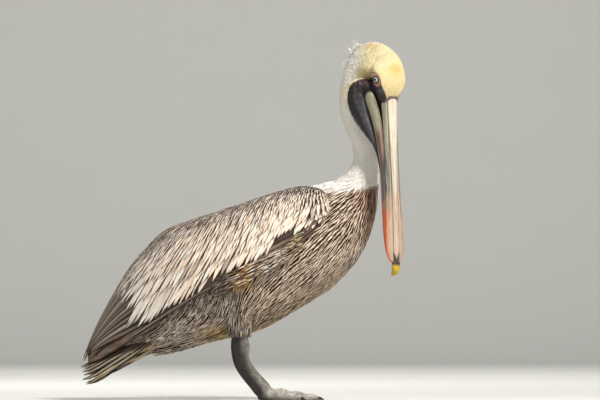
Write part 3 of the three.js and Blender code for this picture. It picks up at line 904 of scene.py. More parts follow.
TRUNK_FLOW = headings([
    [215, 360, 60], [190, 345, 45], [150, 320, 42], [215, 300, 62], [170, 260, 46], [110, 220, 42],
    [180, 215, 40], [110, 165, 36], [60, 200, 46], [50, 150, 40], [15, 185, 62], [12, 140, 62],
    [-8, 170, 80], [-8, 130, 95], [-32, 160, 70], [-38, 122, 48], [-70, 160, 60], [-70, 105, 16],
    [-120, 130, 52], [-110, 95, 10], [-160, 110, 30], [-160, 85, 14], [-205, 85, 26], [60, 350, 10],
    [-60, 320, 12],
])
WING_FLOW = headings([
    [142, 352, 96], [146, 322, 84], [130, 290, 60], [100, 352, 84], [100, 300, 62], [50, 345, 80],
    [40, 265, 66], [-30, 315, 80], [-20, 230, 66], [-75, 300, 74], [-80, 190, 63], [-120, 280, 66],
    [-130, 160, 60], [-170, 240, 62], [-190, 125, 55], [-215, 190, 60], [-250, 95, 57], [-275, 70, 56],
])


def heading_vector(angle, side, spread):
    """A direction toward the tail and down, leaning out by spread."""
    a = np.radians(angle)
    return np.stack([-np.cos(a), spread * side + 0 * a, -np.sin(a)], -1)


def stagger(rng, rows, spacing, low, high, jitter):
    """Row by row places, every other row shifted by half a space. Spacing, low and high are per row."""
    count = np.maximum(3, ((high - low) / spacing).astype(int))
    row = np.repeat(np.arange(len(rows)), count)
    order = np.arange(count.sum()) - np.repeat(np.cumsum(count) - count, count)
    step = ((high - low) / count)[row]
    along = low[row] + (order + 0.5 * (row % 2) + 0.25 + rng.uniform(-jitter, jitter, len(row))) * step
    return rows[row], along


# ---- shader nodes ----

class Link:
    """A node socket that takes part in Python arithmetic."""

    def __init__(self, nodes, socket):
        self.nodes, self.socket = nodes, socket

    def math(self, kind, *others):
        return self.nodes.make("ShaderNodeMath", {"operation": kind}, dict(enumerate((self, *others))))

    def __add__(self, o):
        return self.math("ADD", o)

    def __sub__(self, o):
        return self.math("SUBTRACT", o)

    def __rsub__(self, o):
        return self.math("MULTIPLY", -1.0).math("ADD", o)

    def __mul__(self, o):
        return self.math("MULTIPLY", o)

    __radd__, __rmul__ = __add__, __mul__

    def step(self, low, high):
        """0 below low, 1 above high, smooth between."""
        values = {0: self, 1: low, 2: high, 3: 0.0, 4: 1.0}
        return self.nodes.make("ShaderNodeMapRange", {"interpolation_type": "SMOOTHSTEP"}, values)

    def output(self, name):
        """Another output of the same node."""
        return Link(self.nodes, self.socket.node.outputs[name])


class Nodes:
    """A material's node tree; make() adds any node, settings first, then values or links by socket."""

    def __init__(self, name, **sockets):
        self.material = bpy.data.materials.new(name)
        self.material.use_nodes = True
        self.tree = self.material.node_tree
        self.shader = self.tree.nodes["Principled BSDF"]
        for key, value in sockets.items():
            self.shader.inputs[key.replace("_", " ")].default_value = value

    def make(self, kind, node_settings=None, values=None, output=0):
        node = self.tree.nodes.new(kind)
        for key, value in (node_settings or {}).items():
            setattr(node, key, value)
        for key, value in (values or {}).items():
            if isinstance(value, Link):
                self.tree.links.new(value.socket, node.inputs[key])
            else:
                node.inputs[key].default_value = value
        return Link(self, node.outputs[output])

    def feed(self, socket, link):
        self.tree.links.new(link.socket, self.shader.inputs[socket])

    def attribute(self, name, output="Color"):
        return self.make("ShaderNodeAttribute", {"attribute_name": name}, None, output)

    def here(self):
        return self.make("ShaderNodeTexCoord", None, None, "Object")

    def stretch(self, where, scale):
        return self.make("ShaderNodeMapping", None, {"Vector": where, "Scale": scale})

    def noise(self, where, scale, detail=2.0, rough=0.5):
        values = {"Vector": where, "Scale": scale, "Detail": detail, "Roughness": rough}
        return self.make("ShaderNodeTexNoise", None, values)

    def combine(self, x, y, z):
        return self.make("ShaderNodeCombineXYZ", None, {0: x, 1: y, 2: z})

    def blend(self, factor, a, b, how="MIX"):
        kind = {"data_type": "RGBA", "blend_type": how}
        return self.make("ShaderNodeMix", kind, {0: factor, 6: a, 7: b}, 2)

    def shaded(self, colour, tone):
        """The colour times a grey tone."""
        grey = self.make("ShaderNodeCombineColor", None, {0: tone, 1: tone, 2: tone})
        return self.blend(1.0, colour, grey, "MULTIPLY")

    def bump(self, height, distance, strength=1.0):
        values = {"Height": height, "Distance": distance, "Strength": strength}
        return self.make("ShaderNodeBump", None, values)


def plumage_material():
    """Vanes: pale along the shaft, dark along the ragged edges, and darker at the root, partly the feather's
    own base and partly painted shade under the vanes that lie over it; fine barbs aslant.
    """
    n = Nodes("plumage", Roughness=0.75, Specular_IOR_Level=0.2)
    uv = n.make("ShaderNodeUVMap", {"uv_map": "Vane"})
    across = n.make("ShaderNodeSeparateXYZ", None, {0: uv})
    along = across.output("Y")
    pale, dark = n.attribute("Pale"), n.attribute("Dark")
    edge, chance = n.attribute("Pale", "Alpha"), n.attribute("Dark", "Alpha")
    side = (across * 2.0 - 1.0).math("ABSOLUTE")
    slant = n.combine(across * 3.0, along * 30.0 - side * 3.0, chance * 9.0)
    ragged = n.noise(slant, 1.0, 2.0, 0.6)
    line = side + (ragged - 0.5) * 0.45
    inner = 1.0 - line.step(0.9 - edge * 0.95, 1.12 - edge * 0.78)
    # Darker toward the root: partly the feather's own base, partly painted shade where the vanes over it lie.
    root = along.step(0.1, 0.5)
    colour = n.blend(inner * (root * 0.75 + 0.25), dark, pale)
    shaft = 1.0 - side.step(0.02, 0.14)
    colour = n.blend(shaft * 0.3, colour, n.shaded(colour, 1.3))
    fine = n.combine(across * 5.0, along * 90.0 - side * 9.0, chance * 7.0)
    barbs = n.noise(fine, 1.0, 1.0)
    colour = n.shaded(colour, (chance - 0.5) * edge * 0.5 + barbs * 0.2 + 0.9)
    n.feed("Base Color", colour)
    n.feed("Normal", n.bump(barbs * 0.7 - side * 0.5, 0.0006, 0.5))
    return n.material


def skin_material():
    """Bare skin: painted tone, scutes on the legs, leathery wrinkles on face and pouch."""
    n = Nodes("bare skin", Specular_IOR_Level=0.35)
    tone = n.attribute("Tone")
    scales = n.make("ShaderNodeSeparateColor", None, {0: n.attribute("Kind")})
    wrinkles = scales.output(1)
    here = n.here()
    warp = n.noise(here, 160.0, 2.0)
    sway = {0: warp, 1: (0.004,) * 3, 2: here}
    where = n.make("ShaderNodeVectorMath", {"operation": "MULTIPLY_ADD"}, sway)
    cells = n.make("ShaderNodeTexVoronoi", {"feature": "DISTANCE_TO_EDGE"}, {"Vector": where, "Scale": 560.0})
    pebbles = n.make("ShaderNodeTexVoronoi", {"feature": "F1"}, {"Vector": here, "Scale": 750.0}, "Distance")
    fine = n.noise(here, 900.0, 3.0)
    broad = n.noise(here, 110.0, 4.0, 0.65)
    seam = (1.0 - cells.step(0.0, 0.16)) * scales
    speck = fine.step(0.52, 0.68) * wrinkles
    mottle = (broad - 0.5) * scales
    shade = broad + 0.45 + fine * 0.2 - seam * 0.34 + speck * 0.45 + mottle * 1.4
    n.feed("Base Color", n.shaded(tone, shade))
    n.feed("Roughness", fine * 0.2 + 0.48)
    leather = pebbles.step(0.1, 0.7) * 0.7 + broad * 1.2
    height = cells.step(0.0, 0.3) * scales + fine * 0.3 + leather * wrinkles
    n.feed("Normal", n.bump(height, 0.0007, 0.75))
    return n.material


def horn_material():
    """Horn: painted tone with fine streaks along its length, flakes and dull wear."""
    c = settings("horn")
    n = Nodes("horn", Specular_IOR_Level=0.4)
    here = n.here()
    streak = n.noise(n.stretch(here, (700.0, 700.0, 38.0)), 1.0, 4.0, 0.7)
    flake = n.noise(n.stretch(here, (260.0, 260.0, 110.0)), 1.0, 3.0, 0.6)
    speck = n.noise(here, 700.0, 2.0)
    shade = streak * 0.8 + flake * 0.45 + speck * 0.12 + 0.3
    n.feed("Base Color", n.shaded(n.attribute("Tone"), shade))
    n.feed("Roughness", streak * 0.2 + c.bill_roughness)
    n.feed("Normal", n.bump(streak + flake * 0.7 + speck * 0.3, 0.0004, 0.6))
    return n.material


def eye_material():
    """Wet eye under a clear coat."""
    n = Nodes("wet eye", Roughness=0.14, Coat_Weight=1.0, Coat_Roughness=0.03)
    n.feed("Base Color", n.attribute("Tone"))
    return n.material


def floor_material():
    """Plain matt floor with a very faint cloud."""
    n = Nodes("studio floor", Roughness=0.9)
    n.feed("Base Color", n.shaded((*settings("stage").floor, 1.0), n.noise(n.here(), 3.0) * 0.03 + 0.985))
    return n.material


# ---- the skin ----

COAT_DEPTH = np.array([[0, 5], [0.5, 7], [0.6, 4], [0.66, 2.2], [0.9, 1.6], [1, 1.6]], float)
HEAD_DEPTH = np.array([[-66, 1.6], [-10, 1.2], [10, 0.5], [42, 0]], float)
ROUND = np.linspace(0, TURN, 72, endpoint=False)


def skin_parts():
    """Closed tubes that the skin is drawn over."""
    s = np.linspace(0, 1, 220)
    depth = np.interp(s, *COAT_DEPTH.T)
    parts = [tube(spine_point(s[:, None], ROUND, -depth[:, None]))]
    b = np.linspace(-65.5, 41.5, 70)
    parts.append(tube(head_point(b[:, None], ROUND, -np.interp(b, *HEAD_DEPTH.T)[:, None])))
    b = np.linspace(-4, 240, 140)
    parts.append(tube(pouch_point(b[:, None], ROUND)))
    z = np.linspace(160, 104, 14)[:, None]
    sunk = 2.0 + 6 * smooth(120, 156, z)
    for side in (-1, 1):
        thigh = tube(thigh_point(z, ROUND, side, -sunk))
        parts += [wing_core(side), leg_tube(side), thigh, *foot_tubes(side)]
    return parts


def wing_core(side):
    """A closed plate 4 mm inside the wing's coat."""
    u, v = np.meshgrid(np.linspace(0.02, 0.965, 100), np.linspace(0.03, 0.97, 30), indexing="ij")
    thick = curve(WING, u)[..., 6]
    outer = wing_point(u, v, side, 3.4)
    inner = wing_point(u, v, side, np.maximum(thick - 0.5, 6.6))
    return tube(np.concatenate([outer, inner[:, ::-1]], 1))


def leg_tube(side):
    """Shank: ovals down a bent axis, with a tendon groove down both sides behind."""
    z = np.linspace(116, 9, 64)
    row = curve(SHANK[::-1][:, [1, 0, 2, 3]], z)
    x = row[:, 0] - LEG_BACK[side]
    ring = ROUND[::2]
    axis = unit(np.stack([np.gradient(x, z), 0 * z, 1 + 0 * z], -1))
    fore = np.stack([axis[:, 2], 0 * z, -axis[:, 0]], -1)
    groove = 1 - 0.1 * bell(np.abs(ring - math.pi), 0.95, 0.3)
    centre = np.stack([x, np.full_like(z, side * STANCE), z], -1)[:, None, :]
    deep = row[:, 1][:, None] * (np.cos(ring) * groove)[None, :]
    wide = row[:, 2][:, None] * (np.sin(ring) * groove)[None, :]
    return tube(centre + fore[:, None, :] * deep[..., None] + ACROSS * wide[..., None])


def toe_frame(angle, side):
    """Root, direction and cross direction of a toe on the floor."""
    turn = math.radians(angle + TOE_OUT) * side
    root = np.array([FOOT_ROOT - LEG_BACK[side], side * STANCE, 0.0])
    way = np.array([math.cos(turn), math.sin(turn), 0.0])
    return root, way, np.array([-way[1], way[0], 0.0])


def foot_tubes(side):
    """Toes as knuckled tubes with flat soles, and webs as thin plates between them."""
    ring = ROUND[::3]
    t = np.linspace(-0.12, 1, 46)
    knuckle = np.maximum(0.32, 1 - 0.62 * t) * (1 + 0.09 * np.cos(2 * math.pi * 3.1 * t))
    knuckle = knuckle * np.sqrt(np.clip((1.03 - t) / 0.08, 0, 1))
    parts = []
    for _, angle, reach, wide, high in TOES:
        root, way, cross = toe_frame(angle, side)
        w, h = wide * knuckle, high * knuckle * np.where(t < 0, 0.8, 1)
        centre = root + way * (reach * t)[:, None] + UP * (h * 0.82)[:, None]
        grid = centre[:, None, :] + cross * (w[:, None] * np.sin(ring))[..., None] \
            + UP * (h[:, None] * np.cos(ring))[..., None]
        grid[..., 2] = np.maximum(grid[..., 2], 0.0)
        parts.append(tube(grid))
    order = {name: (angle, reach) for name, angle, reach, _, _ in TOES}
    for one, two in (("middle", "outer"), ("inner", "middle"), ("hind", "inner")):
        parts.append(web_plate(order[one], order[two], side))
    return parts


def web_plate(first, second, side):
    """Web: straight lines between two toes, sagging in the middle, free edge curved in, faintly ribbed."""
    root, way_a, _ = toe_frame(first[0], side)
    _, way_b, _ = toe_frame(second[0], side)
    t, k = np.meshgrid(np.linspace(0.03, 0.94, 40), np.linspace(0, 1, 26), indexing="ij")
    hollow = 1 - 0.34 * k * (1 - k)
    p = root + way_a * (first[1] * t * hollow)[..., None]
    q = root + way_b * (second[1] * t * hollow)[..., None]
    top = p + (q - p) * k[..., None]
    rise = (9 - 7.8 * t) * (1 - 0.35 * np.sin(math.pi * k)) + 0.35 * np.sin(k * 31) * (1 - t)
    low = top.copy()
    top[..., 2] = rise + 2.9
    low[..., 2] = np.maximum(rise - 1, 0.0)
    return tube(np.concatenate([top, low[:, ::-1]], 1))


def skin_tone(p):
    """Tone, and scale and wrinkle shares, of the skin at points."""
    c = settings("skin")
    pale, dark, edge = coat_colours(p)
    # Painted shade: under the coat the skin takes the coat's colours darkened by a quarter, and under the
    # wings the dark flight colour, for the shade between the vanes and under the wing.
    tone = mix(pale, dark, 0.4 + edge * 0.4) * 0.75
    tone = mix(tone, settings("plumage").flight_dark, under_wing(p, -4))
    kind = np.zeros(p.shape[:-1] + (3,))
    bare = bare_amount(p)
    b, f, l = head_coords(p)
    tone = mix(tone, c.pouch, bare)
    kind[..., 1] = bare
    on_side = np.abs(l) > 13
    near = (p[..., 1] < -30) * (pouch_fill(p) < 1.12)
    # Painted highlight: a bluish-grey sheen painted along the crest of the pouch's fold.
    crest = bell(p[..., 0] - fold_line(b), 1.5, 1.5) * smooth(-6, 4, b) * smooth(112, 90, b) * near
    tone = mix(tone, c.crest, crest * 0.7 * bare)
    plum = bell(b, 6, 12) * smooth(0, -6, f + 12)
    tone = mix(tone, c.maroon * [0.5, 0.7, 0.9], plum * 0.16 * bare)
    ring = eye_ring(b, f)
    pink = (1 - smooth(0.86, 0.98, ring)) * on_side
    lower = smooth(4, 11, b)
    tone = mix(tone, c.orbit, pink * (1 - 0.55 * lower))
    tone = mix(tone, c.maroon, patch(b, f, 7, 9, 5, 3) * on_side * 0.5)
    tone = mix(tone, c.maroon * 0.55, bell(ring, 0.97, 0.07) * on_side * 0.8)
    grey = patch(b, f, 20, 7, 5, 6) * on_side
    tone = mix(tone, c.crest * [1.0, 0.95, 1.1], grey * 0.5)
    gape = patch(b, f, 36, 6, 7, 5) * on_side
    tone = mix(tone, c.maroon * 0.6, gape * 0.3)
    z = p[..., 2]
    leg = smooth(120, 113, z) * (p[..., 0] > -40)
    # Painted light and shade: the front of the leg, toward the key light, is painted lighter and the back
    # darker.
    lit = smooth(-6, 12, p[..., 0] - np.interp(z, [9, 45, 92, 114], [42, 13, -3, -4]))
    hide = mix(c.leg_dark, c.leg_light, lit)
    foot = smooth(34, 14, z) * smooth(28, 52, p[..., 0])
    hide = mix(hide, c.foot_pale, foot * smooth(2, 9, z) * 0.8)
    tone = mix(tone, hide, leg)
    kind[..., 0] = leg
    kind[..., 1] = kind[..., 1] * (1 - leg)
    return tone, kind


def skin_moves(p, n):
    """Moves of the skin: a dent round each eye, a brow, the pouch's fold, a bed for the lower bill."""
    b, f, l = head_coords(p)
    on_side = (np.abs(l) > 14) & (head_fill(p) < 1.4)
    ring = eye_ring(b, f)
    dent = -1.1 * bell(ring, 0, 0.5) + 0.9 * bell(ring, 0.95, 0.16)
    brow = 0.8 * patch(b, f, -12, 3, 3, 8)
    move = (dent + brow) * on_side
    near = (pouch_fill(p) < 1.14) & (b > -6) & (p[..., 1] < -30)
    x = p[..., 0] - fold_line(b)
    fold = bell(x, 1.5, 2.2) - 3.4 * bell(x, -2.6, 1.9) - 1.4 * bell(x, 6, 2.2)
    sideways = 0.5 * np.sin(b * 0.55 + x * 0.1) * smooth(-4, -12, x)
    move = move + (fold + sideways) * smooth(-4, 6, b) * smooth(118, 96, b) * near
    out = n * move[:, None]
    row = curve(BRANCH, b)
    bed = row[..., 0] + row[..., 3] / 2 - 1.4
    inside = smooth(-5, 2, row[..., 1] - f) * smooth(-5, 2, f - row[..., 2])
    inside = inside * smooth(4, 22, b) * smooth(230, 200, b)
    over = np.maximum(np.abs(l) - bed, 0) * inside
    return out - LEFT * (np.sign(l) * over)[:, None]


def make_skin():
    """One skin over all the flesh: tubes joined, remeshed as one surface, smoothed, moved, painted."""
    c = settings("skin")
    raw = new_object("raw_skin", *joined(skin_parts()))
    remesh = raw.modifiers.new("one", "REMESH")
    remesh.mode, remesh.voxel_size = "VOXEL", c.voxel
    soften = raw.modifiers.new("soft", "SMOOTH")
    soften.factor, soften.iterations = 0.5, 4
    obj = applied(raw, "skin_fine")
    normal = np.empty(len(obj.data.vertices) * 3, np.float32)
    obj.data.vertex_normals.foreach_get("vector", normal)
    p = point_array(obj)
    _, neck = spine_near(p)
    valley = (head_fill(p) < 1.35) & (neck < 1.35) & (bare_amount(p) < 0.1)
    crease = obj.vertex_groups.new(name="crease")
    crease.add(np.nonzero(valley)[0].tolist(), 1.0, "ADD")
    fill = obj.modifiers.new("fill", "SMOOTH")
    fill.vertex_group, fill.factor, fill.iterations = "crease", 0.5, 60
    obj = applied(obj, "skin_filled")
    p = point_array(obj)
    p = p + skin_moves(p, normal.reshape(-1, 3).astype(float))
    obj.data.vertices.foreach_set("co", (p * MM).astype(np.float32).ravel())
    keep = np.maximum(bare_amount(p), smooth(118, 110, p[:, 2]) * (p[:, 0] > -40))
    group = obj.vertex_groups.new(name="fine")
    group.add(np.nonzero(keep > 0.2)[0].tolist(), 1.0, "ADD")
    thin = obj.modifiers.new("thin", "DECIMATE")
    thin.ratio = min(1.0, c.triangles / (2 * len(obj.data.polygons)))
    thin.vertex_group, thin.invert_vertex_group, thin.vertex_group_factor = "fine", True, 3.0
    skin = applied(obj, "skin")
    tone, kind = skin_tone(point_array(skin))
    paint(skin, "Tone", tone)
    paint(skin, "Kind", kind)
    skin.data.polygons.foreach_set("use_smooth", np.ones(len(skin.data.polygons), bool))
    flesh = ["head", "pouch", "neck_upper", "neck_lower", "trunk"]
    for part in ("wing", "thigh", "shank", "foot"):
        flesh += [f"{part}_right", f"{part}_left"]
    settle(skin, flesh, shared("bare skin", skin_material))


# ---- horn, eyes and claws ----

def make_horn_piece(name, points, tris, tone, nodes, slot):
    obj = new_object(name, points, tris)
    paint(obj, "Tone", tone)
    return settle(obj, nodes, shared("horn", horn_material))


def bill_arch(l):
    """The b at which the forehead's feathers end over the upper bill."""
    return 28 + 9 * np.clip(np.abs(l) / 15, 0, 1.2) ** 2


def upper_bill_grid():
    """Upper bill: a ridge strip, a groove each side, sloping side plates and a hollow underside, along b."""
    b = np.r_[np.linspace(22, 60, 34), np.linspace(61, 296, 150), np.linspace(297, 319, 26)]
    ridge, high, half, rib = curve(UPPER, b).T[:, :, None]
    share = np.linspace(0, 1.34, 18)[None, :]
    depth = np.interp(
        share, [0, 0.5, 0.85, 0.97, 1.04, 1.12, 1.2, 1.34], [0, 0.02, 0.05, 0.12, 0.34, 0.36, 0.27, 0.26])
    seam = 0.05 * bell(share, 0.45, 0.05) * smooth(60, 130, b)[:, None]
    l_rib, f_rib = rib * share, ridge - high * (depth + seam) * 0.8
    k = np.linspace(0, 1, 13)[None, 1:]
    start_l, start_f = l_rib[:, -1:], f_rib[:, -1:]
    l_side = start_l + (half - start_l) * np.sin(k * math.pi / 2) ** 0.9
    crease = 0.5 * bell(k, 0.55, 0.06) * smooth(110, 150, b)[:, None]
    f_side = start_f + (ridge - high - start_f) * (k * 0.35 + 0.65 * k ** 2) - crease
    k = np.linspace(0, 1, 7)[None, 1:]
    l_low = half * (1 - k) * 0.96
    f_low = ridge - high + 2.0 * np.sin(k * math.pi / 2)
    l = np.concatenate([l_rib, l_side, l_low], 1)
    f = np.concatenate([f_rib, f_side, f_low], 1)
    l = np.concatenate([l, -l[:, -2:0:-1]], 1)
    f = np.concatenate([f, f[:, -2:0:-1]], 1)
    b2 = np.broadcast_to(b[:, None], l.shape)
    close = np.sqrt(np.clip((320 - b2) / 6, 0, 1)) * (0.94 + 0.06 * smooth(23, 40, b2 - 8 * (l / 15) ** 2))
    mid = ridge - high * 0.5
    grid = head_frame_point(b2, mid + (f - mid) * np.maximum(close, 0.35), l * np.maximum(close, 0.5))
    return grid, b2, l, rib, half


def upper_bill_tone(b, l, rib, half):
    """Ridge pinkish ivory, sides grey ivory with dark grooves, red-orange toward the nail."""
    c = settings("horn")
    x = np.abs(l)
    on_ridge = 1 - smooth(0.94, 1.04, x / rib)
    tone = mix(c.plate, c.ridge, on_ridge)
    wave = np.sin(b * 0.11 + x * 1.3) * 0.5 + np.sin(b * 0.047 + x * 2.9 + 1) * 0.5
    grain = smooth(-0.2, 0.9, wave + 0.4 * np.sin(x * 5.3 + np.sin(b * 0.03) * 3))
    tone = mix(tone, c.ridge * [0.5, 0.42, 0.36], on_ridge * grain * (0.12 + 0.4 * smooth(50, 130, b)))
    tone = mix(tone, c.groove, bell(x, rib * 1.09, 0.8) * 0.95)
    side = 1 - on_ridge
    mottled = smooth(100, 150, b) * smooth(252, 215, b) * side * smooth(0.25, 0.6, (x - rib) / (half - rib))
    tone = mix(tone, c.slate * 0.8, mottled * (0.45 + 0.55 * grain))
    rimmed = bell(x, rib * 0.86, 1.1) * smooth(110, 160, b) * smooth(270, 235, b)
    tone = mix(tone, c.slate, rimmed * (0.25 + 0.6 * grain))
    edge = bell(x / half, 0.72, 0.1) * side * smooth(60, 120, b) * smooth(250, 215, b)
    tone = mix(tone, c.groove * 1.6, edge * 0.6)
    tone = mix(tone, c.groove * 2.0, bell(x, rib * 0.45, 0.6) * smooth(90, 170, b) * 0.6)
    red = smooth(212, 240, b) * smooth(0.55, 0.95, (x - rib * 0.7) / (half - rib * 0.7))
    tone = mix(tone, c.orange, red * 0.9)
    blush = smooth(185, 214, b) * (1 - red)
    tone = mix(tone, c.ridge * [0.66, 0.48, 0.42], blush * (0.35 + 0.55 * grain))
    tone = mix(tone, c.orange * [1.0, 1.3, 1.5], smooth(44, 26, b) * on_ridge * 0.35)
    dark = smooth(297, 306, b - (rib * 0.9 - x) * 1.6) * smooth(7.5, 5.0, x)
    tone = mix(tone, c.groove * 0.6, dark * 0.92)
    return mix(tone, c.slate * 0.6, smooth(5.2, 4.2, b - bill_arch(x)) * 0.95)


def make_upper_bill():
    grid, b, l, rib, half = upper_bill_grid()
    points, tris = tube(grid)
    make_horn_piece("upper_bill_horn", points, tris, tube_tone(upper_bill_tone(b, l, rib, half)),
                    ["upper_bill"], "bill_ivory")


def make_nail():
    """Nail: ovals along a hooked line, keeled in front, drawn to a point."""
    c = settings("horn")
    b = np.r_[np.linspace(316, 336, 26), np.linspace(336.6, 340, 14)]
    row = curve(NAIL, b)
    ring = ROUND[::2]
    cos, sin = np.cos(ring)[None, :], np.sin(ring)[None, :]
    keel = 1 + 0.14 * np.clip(cos, 0, 1) ** 6
    f = row[:, 0][:, None] + row[:, 1][:, None] * cos * keel
    l = row[:, 2][:, None] * signed_power(sin, 0.9)
    points, tris = tube(head_frame_point(b[:, None] + 0.36 * cos * row[:, 1][:, None], f, l))
    tone = mix(c.groove * 0.8, c.nail, np.broadcast_to(smooth(317, 324, b)[:, None], l.shape))
    tone = mix(tone, c.nail * 0.7, smooth(0.3, 1, -cos + 0 * l) * 0.6)
    make_horn_piece("nail_horn", points, tris, tube_tone(tone), ["bill_nail"], "nail_yellow")


def branch_tone(b, up):
    """Lower bill bars: yellow-green at the base, then streaked brown, slate, and red-orange to the tip."""
    c = settings("horn")
    tone = mix(c.ramus * 0.82, c.ramus, smooth(0.2, 0.8, up))
    stripe = bell(up, 0.62, 0.13) * smooth(26, 44, b)
    tone = mix(tone, c.ramus * [1.15, 1.16, 1.2], stripe * 0.5)
    tone = mix(tone, c.groove * [1.5, 1.6, 0.9], bell(up, 0.3, 0.12) * smooth(30, 60, b) * 0.3)
    tone = mix(tone, c.ridge * [0.7, 0.55, 0.5], smooth(70, 104, b))
    streak = smooth(80, 100, b) * smooth(146, 124, b) * bell(up, 0.45, 0.22)
    tone = mix(tone, c.groove * [1.6, 0.9, 0.8], streak * 0.85)
    middle = smooth(118, 148, b) * smooth(232, 205, b)
    tone = mix(tone, c.slate * 0.75, middle * (0.55 + 0.45 * np.sin(up * 9 + b * 0.02) ** 2))
    tone = mix(tone, c.orange * 0.95, smooth(205, 232, b) * 0.9)
    tone = mix(tone, c.groove, smooth(0.9, 0.99, up) * 0.8)
    # Painted shade: the base of each bar is darkened where it runs in under the face skin.
    tone = mix(tone, c.groove * 0.6, smooth(23, 18, b))
    return mix(tone, c.groove, smooth(0.08, 0.0, up) * 0.8)


def make_lower_bill():
    """Lower bill: two flat bars that meet at the tip, flaring at the base."""
    ring = ROUND[::2]
    b = np.r_[np.linspace(17, 60, 40), np.linspace(61, 300, 130), np.linspace(301, 317.5, 20)]
    away, top, bottom, thick = curve(BRANCH, b).T[:, :, None]
    cos, sin = np.cos(ring)[None, :], np.sin(ring)[None, :]
    mid, tall = (top + bottom) / 2, (top - bottom) / 2
    close = np.clip((b - 14) / 16, 0.05, 1)[:, None] ** 0.6
    mid = mid + (1 - close) * tall * 0.25
    parts, tones = [], []
    for side in (-1, 1):
        f = mid + tall * signed_power(cos, 0.7) * close
        tuck = 8 * smooth(75, 17, b)[:, None] * (side > 0)
        l = side * (away - tuck + thick / 2 * signed_power(sin, 0.7) * np.maximum(close, 0.4))
        parts.append(tube(head_frame_point(b[:, None] + 0 * l, f, l)))
        tones.append(tube_tone(branch_tone(np.broadcast_to(b[:, None], l.shape), (f - bottom) / (2 * tall))))
    b = np.linspace(303, 317.5, 14)
    away, top, bottom, _ = curve(BRANCH, b).T[:, :, None]
    grid = head_frame_point(b[:, None], (top + bottom) / 2 + (top - bottom) * 0.42 * cos, (away + 0.5) * sin)
    parts.append(tube(grid))
    tones.append(np.tile(settings("horn").orange * 0.95, (len(parts[-1][0]), 1)))
    make_horn_piece("lower_bill_horn", *joined(parts), np.concatenate(tones), ["lower_bill"], "branch_olive")


def eye_axes(side):
    """Centre of an eye, the way it looks, and two directions across."""
    centre = head_frame_point(0, 2, side * EYE_SETBACK)
    way = unit(side * LEFT + 0.3 * FRONT + 0.05 * ALONG)
    up = unit(np.cross(way, FRONT)) * side
    return centre, way, up, np.cross(way, up)


def eye_shell(side, polar, turn, radius):
    """Points round an eye: polar angle from the way it looks, turn round it."""
    centre, way, up, third = eye_axes(side)
    return centre + np.asarray(radius)[..., None] * (
        way * np.cos(polar)[..., None] + up * (np.sin(polar) * np.cos(turn))[..., None]
        + third * (np.sin(polar) * np.sin(turn))[..., None]
    )


def make_eyes():
    """Eyeballs: spheres, a little raised over the iris, with painted iris and pupil."""
    c = settings("skin")
    polar, turn = np.meshgrid(np.linspace(0.02, math.pi - 0.02, 72), ROUND, indexing="ij")
    radius = EYE_RADIUS * (1 + 0.04 * bell(polar, 0, 0.5))
    parts, tones = [], []
    for side in (-1, 1):
        parts.append(tube(eye_shell(side, polar, turn, radius)))
        deg = np.degrees(polar)
        rays = 0.5 + 0.5 * np.sin(turn * 36) * np.sin(turn * 7 + deg * 0.3)
        tone = mix(c.iris, c.iris * 0.55, rays * 0.5)
        tone = mix(c.iris * [0.45, 0.6, 0.72], tone, smooth(19, 27, deg))
        tone = mix(c.pouch * 0.08, tone, smooth(16.5, 18.5, deg))
        tones.append(tube_tone(mix(tone, c.pouch * 0.3, smooth(37, 42, deg))))
    obj = new_object("eyes_wet", *joined(parts))
    paint(obj, "Tone", np.concatenate(tones))
    settle(obj, ["eye_right", "eye_left"], eye_material())


def make_lids():
    """Lids: a rounded rim over each eyeball, its opening a little oval, dark at the edge, pink outside."""
    c = settings("skin")
    turn = ROUND
    k = np.linspace(0, 1, 16)[:, None]
    opening = np.radians(45 + 4 * np.cos(2 * (turn - 0.5)))
    high = 7.65 + 1.35 * np.sin(np.clip(k * 1.9, 0, 1) * math.pi / 2) - 0.5 * k
    parts, tones = [], []
    for side in (-1, 1):
        polar = opening + np.radians(38) * k
        top = eye_shell(side, polar, turn + 0 * k, high)
        under = eye_shell(side, polar[::-1], turn + 0 * k, 6.4 + 0 * polar)
        parts.append(hoop(np.concatenate([top, under])))
        tone = mix(c.pouch * 0.5, c.orbit, smooth(0.2, 0.46, k) + 0 * turn)
        tone = mix(tone, c.maroon, bell(k, 0.42, 0.1) * smooth(0.2, 1.0, np.cos(turn - 2.6)) * 0.7)
        tones.append(np.concatenate([tone, tone[::-1]]).reshape(-1, 3))
    obj = new_object("lids", *joined(parts))
    paint(obj, "Tone", np.concatenate(tones))
    paint(obj, "Kind", np.tile([0.0, 0.35, 0.0], (len(obj.data.vertices), 1)))
    settle(obj, (), shared("bare skin", skin_material))


def make_claws():
    """Claws: tapering ovals bent down from each toe's tip."""
    c = settings("horn")
    ring = ROUND[::4]
    t = np.linspace(0.1, 1, 16)
    profile = ([4.0, 4.5, 3.3, 0.9], [3.3, 3.1, 2.0, 0.35], [2.6, 2.3, 1.5, 0.3])
    z, h, w = (np.interp(t, [0.1, 0.35, 0.7, 1], values) for values in profile)
    parts, tones, nodes = [], [], []
    for side in (-1, 1):
        for name, angle, reach, _, _ in TOES:
            root, way, cross = toe_frame(angle, side)
            centre = root + way * (reach + CLAW_REACH * (t - 0.3))[:, None] + UP * z[:, None]
            grid = centre[:, None, :] + cross * (w[:, None] * np.sin(ring))[..., None] \
                + UP * (h[:, None] * np.cos(ring))[..., None]
            grid[..., 2] = np.maximum(grid[..., 2], 0.05)
            parts.append(tube(grid))
            share = np.broadcast_to(t[:, None], grid.shape[:2])
            tones.append(tube_tone(mix(c.claw * 2.2, c.claw * 0.8, share)))
            nodes.append(f"claw_{SIDE_NAME[side]}_{name}")
    make_horn_piece("claws_horn", *joined(parts), np.concatenate(tones), nodes, "claw_dark")


# ---- coats ----

